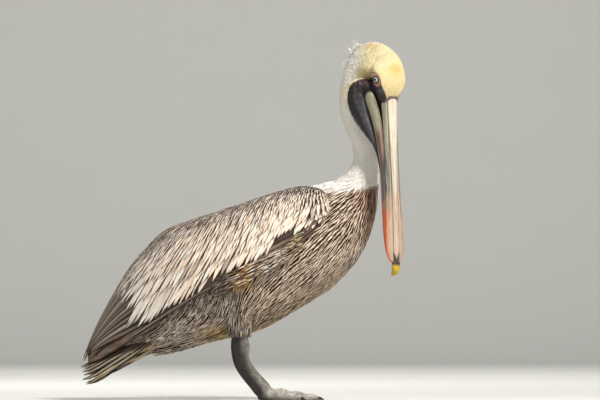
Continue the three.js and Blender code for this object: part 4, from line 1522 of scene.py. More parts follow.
def drape(points, target):
    """The points moved to the nearest place on a piece's surface."""
    cloud = new_object("cloud", points.reshape(-1, 3), np.zeros((0, 3), int))
    wrap = cloud.modifiers.new("wrap", "SHRINKWRAP")
    wrap.target = bpy.data.objects[target]
    wrap.wrap_method = "NEAREST_SURFACEPOINT"
    cloud = applied(cloud, "draped")
    out = point_array(cloud).reshape(points.shape)
    bpy.data.objects.remove(cloud)
    return out


COVERT_ROWS = np.array([  # v of each row of coverts
    0, 0.03, 0.063, 0.099, 0.139, 0.183, 0.232, 0.287, 0.349, 0.419, 0.498, 0.588, 0.69, 0.79,
])


def square(a, b, corner=(0.01, 0.01), size=(0.98, 0.98)):
    """Place on the unwrap from two surface parameters that run from 0 to 1."""
    return np.array(corner) + np.array(size) * np.clip(np.stack([a, b], -1), 0, 1)


def wing_surface(side, depth):
    return Surface(lambda u, v: wing_point(u, v, side, depth), 1e-3, 1e-3, side < 0)


def spine_surface(depth):
    return Surface(lambda s, phi: spine_point(s, phi, -depth), 1e-3, 1e-2, True)


def wing_aim(side):
    def aim(p, n):
        return heading_vector(WING_FLOW(p), side, 0.5 * smooth(0.35, 0.95, np.abs(n[:, 2])))

    return aim


def make_wing(side):
    """Covert rows over the folded wing, small and dark along the top, long and pale below."""
    c = settings("plumage")
    coat = Coat(11 if side < 0 else 12)
    rng = coat.rng
    rows = COVERT_ROWS[::-1]
    spacing = np.interp(rows, [0, 0.2, 0.45, 0.7], np.array([0.40, 0.52, 0.74, 1.08]) * c.mm("covert_width"))
    high = np.interp(rows, [0, 0.15, 0.3, 0.5, 0.7, 0.8], [0.892, 0.875, 0.845, 0.79, 0.72, 0.685])
    v, u = stagger(rng, rows, spacing / WING_LENGTH, 0 * rows, high, 0.2)
    shown = ~((v > 0.74) & (u > 0.11) & (u < 0.46)) & ~((v > 0.64) & (u > 0.13) & (u < 0.2))
    v, u = v[shown], u[shown]
    spacing = np.interp(v, rows[::-1], spacing[::-1])
    pitch = np.interp(v, rows[::-1], np.gradient(rows)[::-1] * -1)
    v = np.clip(v + rng.uniform(-0.16, 0.16, len(v)) * pitch, 0, 1)
    reach = np.interp(v, [0, 0.1, 0.25, 0.45, 0.7, 0.8], [19, 27, 40, 58, 76, 54]) * wing_girth(u) / 200
    reach = reach * rng.uniform(0.88, 1.1, len(v)) * np.interp(u, [0, 0.06, 0.2], [0.6, 0.8, 1])
    reach = reach * (1 + 0.2 * smooth(0.4, 0.55, u) * smooth(0.5, 0.7, v))
    wide = 0.62 * spacing * rng.uniform(0.88, 1.1, len(v)) * np.interp(u, [0, 0.06, 0.2], [0.7, 0.85, 1])
    k = 9
    centre, normal = wing_surface(side, 1.8).follow(u, v, wing_aim(side), reach, k)
    t = np.linspace(0, 1, k)
    rise = -0.8 + 3.0 * t + 0.5 * rng.uniform(0, 1, (len(u), 1))
    across = unit(np.cross(normal, np.gradient(centre, axis=1)))
    sway = rng.normal(0, 0.9, (len(u), 1)) * t + rng.normal(0, 0.4, (len(u), 1)) * np.sin(t * 5)
    centre = centre + normal * rise[..., None] + across * (sway * smooth(8, 50, reach)[:, None])[..., None]
    pale, dark, edge = wing_colours(centre[:, 4], u, v, rng)
    coat.add(centre, normal, wide[:, None] * lance(k, 0.5, 0.38, 1.9), 0.9, square(u, v), pale, dark, edge,
             roll=rng.uniform(0.02, 0.22, len(u)), camber=0.14, sides=5)
    secondaries(coat, side)
    side_tufts(coat, side)
    return coat.build(f"coat_wing_{SIDE_NAME[side]}", ())


def wing_colours(p, u, v, rng):
    """Dark with thin pale middles along the top, pinkish cream and silver below, olive at the wrist."""
    c = settings("plumage")
    n = len(u)
    warm = rng.uniform(0, 1, n)
    pale = mix(c.wing_pale, c.wing_warm, smooth(0.6, 1, warm))
    pale = mix(pale, c.wing_silver, smooth(0.35, 0, warm) * 0.8)
    edge = np.interp(v, [0, 0.12, 0.3, 0.5, 1], [0.95, 0.84, 0.6, 0.4, 0.36])
    edge = edge + rng.normal(0, 0.13, n) + 0.3 * (rng.uniform(0, 1, n) < 0.08)
    top = smooth(0.34, 0.08, v)
    pale = mix(pale, c.wing_pale * 0.9, top * 0.8)
    dark = mix(c.wing_dark, c.flank_dark * 0.8, top)
    pale = mix(pale, c.flight_shaft, (rng.uniform(0, 1, n) < 0.05) * 0.6)
    pale = mix(pale, c.wing_silver * 0.8, smooth(0.6, 0.8, u + 0.12 * v) * 0.6)
    pale = mix(pale, c.wing_silver, blob(p, -155, 150, 40) * 0.7)
    pale = mix(pale, c.cheek_olive * 0.85, blob(p, 118, 286, 16, 14) * 0.7)
    pale = pale * rng.uniform(0.86, 1.08, (n, 1))
    return pale, dark, np.clip(edge, 0.12, 0.95)


def secondaries(coat, side):
    """Dark flight feathers along the wing's lower edge, under the tips of the coverts."""
    c = settings("plumage")
    surface = wing_surface(side, 1.4)
    start = np.r_[np.linspace(0.05, 0.60, 13), np.linspace(0.05, 0.15, 4), np.linspace(0.04, 0.12, 3)]
    low = np.r_[np.full(13, 0.985), np.full(4, 0.94), np.full(3, 0.90)]
    n, k = len(start), 9
    t = np.linspace(0, 1, k)
    p, normal, _, _ = surface.at(start[:, None] + 0.19 * t, low[:, None] - 0.015 * (1 - t))
    centre = p + normal * (0.2 + 1.2 * (1 - t) + 0.1 * (np.arange(n) % 13)[:, None])[..., None]
    far = smooth(0.42, 0.6, start)
    pale = mix(c.flight_shaft, c.flight_grey, far * 0.5)
    wide = np.where(low > 0.95, 2.6, 6.0)[:, None]
    coat.add(centre, normal, wide * lance(k, 0.6, 0.5, 2.2), 0.9, square(start, low), pale, c.flight_dark,
             0.7, roll=0.05, camber=0.1, sides=5)


def side_tufts(coat, side):
    """Soft feathers of the side that lap over the wing's lower edge: olive, then cream, then golden."""
    c, rng = settings("plumage"), coat.rng
    n, k = 260, 6
    u = 0.10 + 0.32 * rng.uniform(0, 1, n) ** 1.15
    v = rng.uniform(0.93, 1.06, n) - 0.05 * smooth(0.16, 0.10, u)

    def aim(p, n):
        return heading_vector(np.full(len(p), 29.0) + 8 * np.sin(p[:, 0] * 0.9), side, 0.0)

    centre, normal = wing_surface(side, 0.5).follow(u, v, aim, rng.uniform(15, 27, n), k)
    centre = coat.lift(centre, normal, 0.6, 2.2, 1.4)
    x = centre[:, 2, 0]
    pick = rng.uniform(0, 1, n)
    pale = mix(c.breast_pale * 0.55, c.wing_pale * 0.85, pick > 0.55)
    pale = mix(pale, c.cheek_olive * 0.9, smooth(72, 88, x) * 0.6)
    pale = mix(pale, c.tuft_gold * 0.85, smooth(40, 22, x) * smooth(-30, -8, x) * (pick < 0.5) * 0.8)
    pale = mix(pale, c.flight_shaft * 0.8, smooth(2, -26, x) * 0.85)
    edge = np.clip(0.58 + 0.3 * (pick < 0.3) + 0.1 * smooth(10, -20, x), 0, 0.95)
    coat.add(centre, normal, rng.uniform(1.5, 2.3, (n, 1)) * lance(k, 0.5, 0.45, 1.8), 0.5, square(u, v),
             pale, c.flank_dark * 1.2, edge, roll=rng.uniform(-0.1, 0.2, n), camber=0.12)


def make_flight(side):
    """Primaries: long dark vanes from under the coverts to the tip, the outermost grey, and a lining."""
    c = settings("plumage")
    coat = Coat(21 if side < 0 else 22)
    rng = coat.rng
    n, k = 19, 14
    t = np.linspace(0, 1, k)
    v = np.linspace(0.93, 0.03, n)
    start = np.interp(v, [0.04, 0.92], [0.81, 0.66])
    end = 1.0 - 0.035 * v + rng.uniform(-0.008, 0.0, n)
    spread = v[:, None] * (1 - 0.12 * t ** 2) + 0.02 * np.sin(t * 3)
    along = start[:, None] + (end - start)[:, None] * t
    p, normal, _, _ = wing_surface(side, 2.6).at(along, np.clip(spread, 0, 0.97))
    i = np.arange(n)
    centre = p + normal * ((0.2 + 0.1 * i[:, None]) * smooth(0.1, 0.5, t) + 0.8 * t)[..., None]
    outer = np.maximum(smooth(n - 5, n - 1, i), 0.55 * (i % 3 == 1))
    pale = mix(c.flight_shaft * 0.72, c.flight_grey, outer)
    dark = mix(c.flight_dark * 0.75, c.flight_grey * 0.4, outer)
    coat.add(centre, normal, np.full((n, 1), 5.4) * lance(k, 0.8, 0.5, 3.0), 0.9, square(start, v),
             pale, dark, 0.66, roll=0.12, camber=0.1, sides=5)
    m = 90
    u = rng.uniform(0.62, 0.93, m)
    v = np.where(rng.uniform(0, 1, m) < 0.3, rng.uniform(0.94, 1.0, m), rng.uniform(0.05, 0.92, m))
    t = np.linspace(0, 1, 7)
    along = np.minimum(u[:, None] + 0.1 * t, 0.997 - 0.03 * v[:, None])
    p, normal, _, _ = wing_surface(side, 3.0).at(along, v[:, None] + 0 * t)
    coat.add(p, normal, np.where(v > 0.93, 4.5, 6.5)[:, None] * lance(7, 0.6, 0.4, 1.5), 0.9, square(u, v),
             c.flight_shaft * 0.7, c.flight_dark * 0.8, 0.7, camber=0.1, sides=5)
    return coat.build(f"flight_{SIDE_NAME[side]}", [f"primaries_{SIDE_NAME[side]}"])


def make_tail():
    """Tail: a fan of narrow vanes with pale edges, and rows of coverts over and under their roots."""
    c = settings("plumage")
    coat = Coat(31)
    rng = coat.rng
    layers = (  # count, depth, root and tip x, half-width, under side, pale, dark
        (17, 0.6, -150, -284, 5.0, False, c.tail_edge * 0.42, c.flight_dark * 0.8),
        (16, 3.2, -160, -281, 5.2, True, c.tail_edge * 0.5, c.flight_dark * 0.8),
        (22, -0.6, -168, -222, 3.6, False, c.flight_shaft, c.flight_dark * 0.8),
        (20, -1.8, -138, -196, 3.8, False, c.wing_pale * 0.6, c.flight_dark * 0.8),
        (17, 6.5, -176, -236, 3.0, True, c.breast_pale * 0.5, c.breast_dark * 0.8),
        (17, 10.0, -150, -205, 3.0, True, c.breast_pale * 0.5, c.breast_dark * 0.8),
    )
    k = 11
    t = np.linspace(0, 1, k)
    for number, (n, depth, start, tip, wide, under, pale, dark) in enumerate(layers):
        across = np.linspace(-0.98, 0.98, n)
        ends = tip - 3 * across ** 2 + rng.uniform(-3.5, 3.5, n)
        x = start + (ends - start)[:, None] * t
        spread = across[:, None] + rng.uniform(-0.02, 0.02, (n, 1)) * t
        sunk = depth * (1 - 0.75 * t ** 2) * (1 - 0.5 * across[:, None] ** 2) + 7 * (spread ** 4) * t ** 2
        step = 1e-2
        p = tail_point(x, spread, sunk)
        ahead = tail_point(x + step, spread, sunk) - tail_point(x - step, spread, sunk)
        aside = tail_point(x, spread + step, sunk) - tail_point(x, spread - step, sunk)
        normal = unit(np.cross(ahead, aside))
        normal = normal * np.sign(normal[..., 2:3]) * (-1 if under else 1)
        stack = 0.12 * (n / 2 - np.abs(np.arange(n) - n / 2))[:, None, None]
        shape = lance(k, 0.5, 0.7, 2.6) if number < 2 else lance(k, 0.5, 0.45, 1.8)
        place = square((across + 1) / 2, np.full(n, (number + 0.5) / len(layers)))
        coat.add(p + normal * stack, normal, np.full((n, 1), wide) * shape, 0.9, place, pale, dark, 0.62,
                 roll=0.08, camber=0.1, sides=5)
    under_tail(coat)
    return coat.build("tail_feathers", ["tail"])


def under_tail(coat):
    """Long soft streaked vanes over the sides and the underside of the tail's root."""
    c, rng = settings("plumage"), coat.rng
    n, k = 620, 8
    pick = rng.uniform(-1, 1, n)
    across = np.sign(pick) * np.abs(pick) ** 0.45 * 0.985
    on_edge = smooth(0.8, 0.96, np.abs(across))[:, None]
    start = rng.uniform(-226, -112, n)
    t = np.linspace(0, 1, k)
    x = start[:, None] - rng.uniform(34, 54, (n, 1)) * t
    thick = curve(TAIL[:, [0, 4]], x)[..., 0]
    share = rng.uniform(0.1, 1.0, (n, 1)) * on_edge + (1 - on_edge)
    p = tail_point(x, across[:, None] + 0 * t, thick * share + 1.0 + 1.2 * t)
    side = np.stack([0 * across, np.sign(across) * on_edge[:, 0], -(1.05 - on_edge[:, 0])], -1)
    normal = np.broadcast_to(unit(side)[:, None], p.shape)
    centre = coat.lift(p, normal, 0.3, 1.4, 1.5)
    pale = mix(c.belly_pale * 0.85, c.breast_pale * 0.4, rng.uniform(0, 1, n))
    coat.add(centre, normal, rng.uniform(1.6, 2.6, (n, 1)) * lance(k, 0.5, 0.5, 1.8), 0.5,
             square((across + 1) / 2, (start + 226) / 120), pale, c.breast_dark * 0.8,
             rng.uniform(0.3, 0.85, n), roll=rng.uniform(-0.1, 0.1, n), camber=0.1)


def trunk_aim(p, n):
    return heading_vector(TRUNK_FLOW(p), np.sign(p[:, 1]), 0.25 * smooth(0.5, 1.0, n[:, 2]))


def trunk_lines(side):
    """Vanes threaded on flow lines, so that their pale middles run on as streaks.

    The lines start round the neck's base and along the shoulder under the wing, and are followed at
    even steps. Where they crowd, only every second, fourth or eighth is used, so that the streaks keep
    their spacing. Neighbouring lines are half a vane out of step.
    """
    c = settings("plumage")
    step, k, count = c.mm("breast_pitch") / 2, 7, 110
    collar, end, round_neck, along_side = 0.668, 0.012, 110, 560
    back = np.linspace(collar, end, along_side)
    brow = np.radians(np.interp(back, [0.05, 0.45, 0.6, collar], [84, 76, 56, 50]))
    phi = side * np.r_[np.linspace(math.pi, brow[0], round_neck), brow]
    s = np.r_[np.full(round_neck, collar), back]
    reach = np.full(len(s), step * (count - 1))
    lines, normals = spine_surface(2.0).follow(s, phi, trunk_aim, reach, count)
    along = unit(np.gradient(lines, axis=1))
    gap = np.gradient(lines, axis=0)
    apart = np.linalg.norm(gap - along * dot(gap, along)[..., None], axis=-1)
    target = c.mm("breast_width")
    skip = 2.0 ** np.clip(np.round(np.log2(target / np.maximum(apart, 1e-2))), 0, 7)
    i = np.arange(len(s))[:, None] + np.zeros(count, int)
    used = (i % skip) == 0
    order = (i / skip).astype(int)
    used &= (np.arange(count)[None, :] + order) % 2 == 0
    used[:, count - k:] = False
    line, at = np.nonzero(used)
    pick = at[:, None] + np.arange(k)
    centre, normal = lines[line[:, None], pick], normals[line[:, None], pick]
    run, _ = spine_near(centre[:, 2])
    spacing = np.minimum(apart[line, at + 2] * skip[line, at + 2], target * 1.5)
    keep = ~under_wing(centre[:, 3]) & (bare_amount(centre[:, 1]) < 0.4) & (run > 0.014)
    keep &= (np.linalg.norm(centre[:, -1] - centre[:, 0], axis=-1) > 14) & (spacing > 0.4 * target)
    return centre[keep], normal[keep], spacing[keep], run[keep], phi[line[keep]]


def back_lines(rng):
    """Vanes in staggered rows on the back between the wings."""
    pitch, spacing, reach = 9, 4.4, 28.0
    rows = np.arange(0.64, 0.012, -pitch / SPINE_LENGTH)
    radius = curve(SPINE_RUN, rows)[:, 3:6].mean(1)
    s, phi = stagger(rng, rows, spacing / radius, 0 * rows - 0.95, 0 * rows + 0.95, 0.2)
    p = spine_point(s, phi)
    keep = ~under_wing(p)
    s, phi = s[keep], phi[keep]
    centre, normal = spine_surface(2.0).follow(s, phi, trunk_aim, np.full(len(s), reach), 7)
    return centre, normal, np.full(len(s), spacing), s, phi


def make_trunk():
    """Trunk: streaked vanes flowing from the neck over breast and belly to the tail, and the thighs'."""
    c = settings("plumage")
    coat = Coat(41)
    rng = coat.rng
    parts = [trunk_lines(-1), trunk_lines(1), back_lines(rng)]
    centre, normal, spacing, run, phi = (np.concatenate(rows) for rows in zip(*parts))
    n, k = centre.shape[:2]
    t = np.linspace(0, 1, k)
    rise = -1.0 + (2.4 + 1.1 * rng.uniform(0, 1, (n, 1))) * t
    across = unit(np.cross(normal, np.gradient(centre, axis=1)))
    sway = rng.normal(0, 0.5, (n, 1)) + rng.normal(0, 0.7, (n, 1)) * t
    sway = sway + rng.normal(0, 0.5, (n, 1)) * np.sin(t * 5)
    shrink = rng.uniform(0.72, 1.0, (n, 1, 1))
    centre = centre[:, :1] * (1 - shrink) + centre * shrink
    centre = centre + normal * rise[..., None] + across * sway[..., None]
    p = centre[:, 3]
    pale, dark, edge = coat_colours(p)
    near = np.abs(p[:, 1]) > 50
    gold = blob(p, 2, 208, 20, 13) * near
    pale, dark = mix(pale, c.tuft_gold, gold), mix(dark, c.tuft_gold * 0.4, gold)
    olive = blob(p, 98, 280, 10, 10) * near
    pale, dark = mix(pale, c.cheek_olive * 1.25, olive), mix(dark, c.cheek_olive * 0.4, olive)
    pale_ones = (blob(p, 46, 234, 34, 18) > 0.4) & (rng.uniform(0, 1, n) < 0.4)
    pale = mix(pale, c.wing_pale, pale_ones * 0.8)
    place = square(run / 0.68, phi / TURN % 1, size=(0.78, 0.98))
    rough = 1 + 0.9 * smooth(40, -20, p[:, 0]) * smooth(240, 200, p[:, 2])
    edge = np.clip(edge + rng.normal(0, 0.14, n) * rough + 0.3 * (rng.uniform(0, 1, n) < 0.12), 0.15, 0.99)
    wide = rng.uniform(0.5, 0.68, (n, 1)) * spacing[:, None]
    coat.add(centre, normal, wide * lance(k, 0.55, 0.42, 1.8), 0.5, place, pale, dark, edge,
             roll=rng.uniform(-0.1, 0.14, n), camber=0.1)
    for side in (-1, 1):
        thigh_vanes(coat, side)
        thigh_cover(coat, side)
    return coat.build("coat_trunk", ())


def thigh_vanes(coat, side):
    """Thigh: fine soft vanes that end in a ragged edge above the bare ankle."""
    c, rng = settings("plumage"), coat.rng
    rows = np.arange(117, 163, 4.6)
    radius = curve(THIGH, rows)[:, 1:].mean(1)
    z, phi = stagger(rng, rows, 3.2 / radius, 0 * rows, 0 * rows + TURN, 0.3)
    z = z + rng.uniform(-2, 2, len(z))
    surface = Surface(lambda a, b: thigh_point(a, b, side, -0.6), 1e-1, 1e-2, False)
    reach = np.interp(z, [114, 120, 130, 160], [6, 9, 17, 26]) * rng.uniform(0.6, 1.15, len(z))
    centre, normal = surface.follow(z, phi, trunk_aim, reach, 6)
    centre = centre - normal * (6 * smooth(120, 156, centre[..., 2]))[..., None]
    centre = coat.lift(centre, normal, -0.4, 1.6, 1.0)
    pale, dark, edge = coat_colours(centre[:, 2])
    pale = mix(pale, c.breast_pale * 0.5, 0.7)
    edge = np.clip(edge + 0.12 + rng.normal(0, 0.16, len(z)), 0.2, 0.97)
    place = square((z - 106) / 58, phi / TURN, (0.81, 0.01 if side < 0 else 0.51), (0.18, 0.48))
    coat.add(centre, normal, rng.uniform(1.3, 1.9, (len(z), 1)) * lance(6, 0.6, 0.4, 1.7), 0.4, place,
             pale, dark, edge, roll=rng.uniform(-0.1, 0.1, len(z)), camber=0.1)


def thigh_cover(coat, side):
    """Longer vanes of the flank that hang over the thigh's top, so that it grows out of the trunk."""
    rng = coat.rng
    n, k = 420, 7
    z = rng.uniform(131, 166, n)
    phi = rng.uniform(0, TURN, n)
    surface = Surface(lambda a, b: thigh_point(a, b, side, 1.0 - 4 * smooth(118, 150, a)), 1e-1, 1e-2, False)
    reach = np.minimum(rng.uniform(22, 34, n), 1.1 * (z - 111))
    centre, normal = surface.follow(z, phi, trunk_aim, reach, k)
    centre = coat.lift(centre, normal, -0.5, 1.2, 1.2)
    pale, dark, edge = coat_colours(centre[:, 3] + 22 * UP)
    place = square((z - 106) / 60, phi / TURN, (0.81, 0.01 if side < 0 else 0.51), (0.18, 0.48))
    wide = rng.uniform(1.6, 2.3, (n, 1)) * lance(k, 0.5, 0.4, 1.8)
    edge = np.clip(edge + 0.1 + rng.normal(0, 0.18, n), 0.2, 0.97)
    coat.add(centre, normal, wide, 0.45, place, pale * 0.8, dark, edge, roll=rng.uniform(-0.1, 0.1, n),
             camber=0.1)


def crown_aim(p, n):
    """Tufts lie away from the bill, turn back over the crown and run down the neck."""
    b, f, _ = head_coords(p)
    run, _ = spine_near(p)
    down = -spine_frame(run)[1]
    turn = smooth(-15, -55, b)[:, None]
    part = smooth(-5, -30, f)[:, None]
    return (UP * (1 - turn) - FRONT * turn) * (1 - part) + down * part


def make_neck(side):
    """One side of the neck: short dense tufts lying toward the body, white with a creamy line in front."""
    c = settings("plumage")
    coat = Coat(51 if side < 0 else 52)
    rng = coat.rng
    pitch = c.mm("neck_pitch")
    rows = np.arange(0.992, 0.60, -pitch / SPINE_LENGTH)
    radius = curve(SPINE_RUN, rows)[:, 3:6].mean(1)
    low = 0 * rows if side > 0 else 0 * rows - math.pi
    spacing = np.interp(rows, [0.6, 0.7, 1], [1.8, 1.35, 1.3])
    s, phi = stagger(rng, rows, spacing / radius, low, low + math.pi, 0.35)
    s = s + rng.uniform(-0.45, 0.45, len(s)) * pitch / SPINE_LENGTH
    p = spine_point(s, phi, -1.2)
    keep = neck_is_white(p) + rng.uniform(-0.3, 0.3, len(s)) > 0.35
    keep &= (bare_amount(p) < 0.35) & (head_fill(p) > 0.9)
    s, phi = s[keep], phi[keep]
    n = len(s)
    reach = np.interp(s, [0.6, 0.7, 0.95], [14, 10.5, 9]) * rng.uniform(0.8, 1.2, n)
    wide = np.interp(s, [0.6, 0.7, 0.95], [1.1, 0.95, 0.85]) * rng.uniform(0.85, 1.15, n)
    k = 4
    centre, normal = spine_surface(1.2).follow(s, phi, crown_aim, reach, k)
    centre = coat.lift(drape(centre, "skin"), normal, -0.1, 0.95, 0.6)
    pale, dark, edge = coat_colours(centre[:, 1])
    place = square(s, phi / TURN % 1)
    coat.add(centre, normal, wide[:, None] * lance(k, 0.7, 0.33, 1.4), 0.12, place, pale, dark, edge,
             roll=rng.uniform(-0.12, 0.12, n), camber=0.1)
    return coat.build(f"coat_neck_{SIDE_NAME[side]}", ())


def make_head():
    """Head: very short fine tufts, and the loose crest at the nape."""
    c = settings("plumage")
    coat = Coat(61)
    rng = coat.rng
    pitch = c.mm("head_pitch")
    rows = np.r_[np.arange(40, -58, -pitch), np.arange(-58, -65.5, -0.7 * pitch)]
    radius = np.maximum(curve(HEAD, rows)[:, 1:].mean(1), 5)
    s, phi = stagger(rng, rows, 1.05 / radius, 0 * rows, 0 * rows + TURN, 0.35)
    s = np.clip(s + rng.uniform(-0.5, 0.5, len(s)) * pitch, -65.5, 40)
    p = head_point(s, phi, -0.8)
    _, inside = spine_near(p)
    b, f, l = head_coords(p)
    keep = (bare_amount(p) < 0.35) & (inside > 0.9) & ~((b > bill_arch(l)) & (f > -8)) & (b < 40)
    s, phi = s[keep], phi[keep]
    n = len(s)
    reach = np.interp(s, [-66, -40, 0, 20, 34], [8.5, 8, 6, 4.6, 3.4]) * rng.uniform(0.8, 1.2, n)
    wide = np.interp(s, [-66, 0, 34], [0.7, 0.58, 0.46]) * rng.uniform(0.85, 1.15, n)
    k = 4
    surface = Surface(lambda a, g: head_point(a, g, -0.8), 1e-1, 1e-2, True)
    centre, normal = surface.follow(s, phi, crown_aim, reach, k)
    centre = coat.lift(drape(centre, "skin"), normal, -0.1, 0.75, 0.5)
    pale, dark, edge = coat_colours(centre[:, 1])
    place = square((s + 66) / 107, phi / TURN % 1)
    coat.add(centre, normal, wide[:, None] * lance(k, 0.7, 0.33, 1.4), 0.1, place, pale, dark, edge,
             roll=rng.uniform(-0.12, 0.12, n), camber=0.1)
    crest_spikes(coat)
    return coat.build("coat_head", ())


def crest_spikes(coat):
    """Crest: a few thin loose spikes at the top of the nape, back and up, over a short white fringe."""
    c, rng = settings("plumage"), coat.rng
    n, k = 130, 6
    long = np.arange(n) < 14
    s = np.where(long, rng.uniform(0.930, 0.955, n), rng.uniform(0.918, 0.957, n))
    phi = rng.normal(-0.1, 0.36, n)
    root = spine_point(s, phi, -1.5)
    row, along, left, _ = spine_frame(s)
    out = unit(root - row[:, :3])
    high = np.array([-0.62, -0.1, 0.76]) + rng.normal(0, 0.24, (n, 3))
    lie = smooth(0.905, 0.945, s)[:, None]
    low = np.array([-0.5, 0, 0.75]) * lie - along * (0.95 - 0.6 * lie)
    low = low + out * rng.uniform(-0.3, 0.4, (n, 1)) + left * rng.normal(0, 0.3, (n, 1))
    low = unit(low + rng.normal(0, 0.22, (n, 3)))
    way = unit(np.where(long[:, None], high, low))
    reach = np.where(long, rng.uniform(10, 23, n), rng.uniform(1.6, 3.4, n) ** 2 + 4.5 * lie[:, 0])
    t = np.linspace(0, 1, k)
    bend = rng.normal(0.1, 0.22, n)[:, None] * t ** 2
    centre = root[:, None] + way[:, None] * (reach[:, None] * t)[..., None] \
        - along[:, None] * (reach[:, None] * bend)[..., None]
    normal = np.broadcast_to(unit(out + 0.6 * left)[:, None], centre.shape)
    coat.add(centre, normal, np.where(long, 0.42, 0.95)[:, None] * lance(k, 0.9, 0.25, 1.3), 0.3,
             square(s, phi / TURN % 1), c.neck_white, c.neck_shade, 0.15)


# ---- stage ----

FLOOR_REACH = 9.0  # metres from the bird to the floor's front edge and to the backdrop's foot
COVE_RADIUS = 1.5
BACKDROP_HEIGHT = 6.0
STAGE_HALF_WIDTH = 14
VIEW_AIM = Vector((0.098875, 0, 0.35))
VIEW_PLACE = Vector((0.098875, -8.0, 0.122))
VIEW_WIDTH = 1.05  # metres across at the bird
SENSOR = 36
LIGHTS = (  # name, place, aim, size, colour
    ("key", (1.5, -2.1, 2.6), (0.05, 0, 0.3), 0.6, (1.0, 0.97, 0.92)),
    ("fill", (-2.6, -3.0, 1.4), (0.0, 0, 0.3), 2.6, (1.0, 0.98, 0.94)),
    ("rim", (-0.8, 2.2, 2.4), (0.0, 0, 0.35), 1.4, (1.0, 0.98, 0.95)),
    ("back", (0.0, 3.2, 4.4), (0.0, 9.5, 0.9), 3.0, (1.0, 0.99, 0.97)),
)


def make_stage():
    """Seamless pale floor and backdrop, four area lights, an even sky and the camera.

    The floor runs level, turns up in a quarter circle and goes on as the backdrop, which has a light
    of its own. The other three are key, fill and rim.
    """
    c = settings("stage")
    t = np.linspace(0, 1, 48)
    turn = np.clip((t - 0.45) / 0.2, 0, 1) * math.pi / 2
    y = np.where(t < 0.45, 2 * FLOOR_REACH * t / 0.45 - FLOOR_REACH, FLOOR_REACH + COVE_RADIUS * np.sin(turn))
    z = COVE_RADIUS * (1 - np.cos(turn)) + np.clip((t - 0.65) / 0.35, 0, 1) * BACKDROP_HEIGHT
    x = np.linspace(-STAGE_HALF_WIDTH, STAGE_HALF_WIDTH, 12)
    grid = np.stack(np.broadcast_arrays(x[None, :], y[:, None], z[:, None]), -1)
    floor = new_object("studio_floor", grid.reshape(-1, 3) / MM, quads(len(y), len(x), False))
    floor.data.materials.append(floor_material())
    for name, where, aim, size, colour in LIGHTS:
        light = bpy.data.lights.new(name, "AREA")
        light.size, light.color = size, colour
        light.energy = getattr(c, name + "_power")
        obj = placed(name, light)
        obj.location = where
        obj.rotation_euler = (Vector(aim) - Vector(where)).to_track_quat("-Z", "Y").to_euler()
    world = bpy.data.worlds.new("studio")
    bpy.context.scene.world = world
    world.use_nodes = True
    back = world.node_tree.nodes["Background"]
    back.inputs[0].default_value = (1.0, 0.98, 0.95, 1)
    back.inputs[1].default_value = c.sky
    bpy.context.scene.view_settings.view_transform = "Standard"
    camera = bpy.data.cameras.new("view")
    obj = placed("view", camera)
    bpy.context.scene.camera = obj
    obj.location = VIEW_PLACE
    sight = VIEW_AIM - VIEW_PLACE
    obj.rotation_euler = sight.to_track_quat("-Z", "Y").to_euler()
    camera.sensor_width = SENSOR
    camera.lens = SENSOR * sight.length / VIEW_WIDTH
    camera.clip_end = 60


# ---- operators and panel ----

class PELICAN_OT_skin(Operator):
    """Make the one skin of head, neck, trunk, wings and legs"""
    bl_idname = "pelican.skin"
    bl_label = "Skin"

    def execute(self, context):
        make_skin()
        return {"FINISHED"}


class PELICAN_OT_upper_bill(Operator):
    """Make the upper bill"""
    bl_idname = "pelican.upper_bill"
    bl_label = "Upper bill"

    def execute(self, context):
        make_upper_bill()
        return {"FINISHED"}


class PELICAN_OT_nail(Operator):
    """Make the hooked nail at the bill's tip"""
    bl_idname = "pelican.nail"
    bl_label = "Bill nail"

    def execute(self, context):
        make_nail()
        return {"FINISHED"}


class PELICAN_OT_lower_bill(Operator):
    """Make the two bars of the lower bill"""
    bl_idname = "pelican.lower_bill"
    bl_label = "Lower bill"

    def execute(self, context):
        make_lower_bill()
        return {"FINISHED"}


class PELICAN_OT_eyes(Operator):
    """Make the eyes and their lids"""
    bl_idname = "pelican.eyes"
    bl_label = "Eyes and lids"

    def execute(self, context):
        make_eyes()
        make_lids()
        return {"FINISHED"}


class PELICAN_OT_claws(Operator):
    """Make the claws"""
    bl_idname = "pelican.claws"
    bl_label = "Claws"

    def execute(self, context):
        make_claws()
        return {"FINISHED"}


class PELICAN_OT_wings(Operator):
    """Make the coverts and secondaries of both folded wings"""
    bl_idname = "pelican.wings"
    bl_label = "Wing coats"

    def execute(self, context):
        make_wing(-1)
        make_wing(1)
        return {"FINISHED"}


class PELICAN_OT_flight(Operator):
    """Make the primaries of both wings"""
    bl_idname = "pelican.flight"
    bl_label = "Primaries"

    def execute(self, context):
        make_flight(-1)
        make_flight(1)
        return {"FINISHED"}


class PELICAN_OT_tail(Operator):
    """Make the tail and its coverts"""
    bl_idname = "pelican.tail"
    bl_label = "Tail"

    def execute(self, context):
        make_tail()
        return {"FINISHED"}


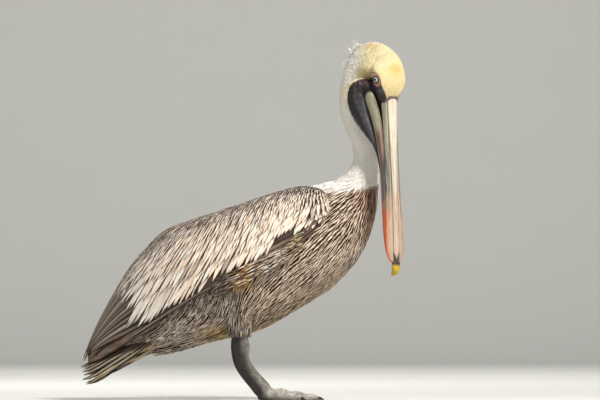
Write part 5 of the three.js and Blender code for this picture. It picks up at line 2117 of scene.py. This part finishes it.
class PELICAN_OT_trunk(Operator):
    """Make the streaked coat of trunk and thighs"""
    bl_idname = "pelican.trunk"
    bl_label = "Trunk coat"

    def execute(self, context):
        make_trunk()
        return {"FINISHED"}


class PELICAN_OT_neck(Operator):
    """Make the white coat of the neck, in two halves"""
    bl_idname = "pelican.neck"
    bl_label = "Neck coat"

    def execute(self, context):
        make_neck(-1)
        make_neck(1)
        return {"FINISHED"}


class PELICAN_OT_head(Operator):
    """Make the coat and crest of the head"""
    bl_idname = "pelican.head"
    bl_label = "Head coat"

    def execute(self, context):
        make_head()
        return {"FINISHED"}


class PELICAN_OT_stage(Operator):
    """Make the floor, the lights and the camera"""
    bl_idname = "pelican.stage"
    bl_label = "Stage"

    def execute(self, context):
        make_stage()
        return {"FINISHED"}


OPERATORS = (
    PELICAN_OT_skin, PELICAN_OT_upper_bill, PELICAN_OT_nail, PELICAN_OT_lower_bill, PELICAN_OT_eyes,
    PELICAN_OT_claws, PELICAN_OT_wings, PELICAN_OT_flight, PELICAN_OT_tail, PELICAN_OT_trunk,
    PELICAN_OT_neck, PELICAN_OT_head, PELICAN_OT_stage,
)


class PELICAN_PT_main(Panel):
    """Lists the settings and the pieces in the order they are made"""
    bl_idname = "PELICAN_PT_main"
    bl_label = "Brown pelican"
    bl_space_type = "VIEW_3D"
    bl_region_type = "UI"
    bl_category = "Pelican"

    def draw(self, context):
        for operator in OPERATORS:
            self.layout.operator(operator.bl_idname)
        for key, group in GROUPS.items():
            box = self.layout.box()
            for name in group.__annotations__:
                box.prop(getattr(context.scene, key), name)


def register():
    for cls in (*GROUPS.values(), *OPERATORS, PELICAN_PT_main):
        bpy.utils.register_class(cls)
    for key, group in GROUPS.items():
        setattr(bpy.types.Scene, key, bpy.props.PointerProperty(type=group))


def unregister():
    for key in GROUPS:
        delattr(bpy.types.Scene, key)
    for cls in (PELICAN_PT_main, *reversed(OPERATORS), *GROUPS.values()):
        bpy.utils.unregister_class(cls)


def main():
    register()
    for operator in OPERATORS:
        getattr(bpy.ops.pelican, operator.bl_idname.split(".")[1])()


if __name__ == "__main__":
    main()
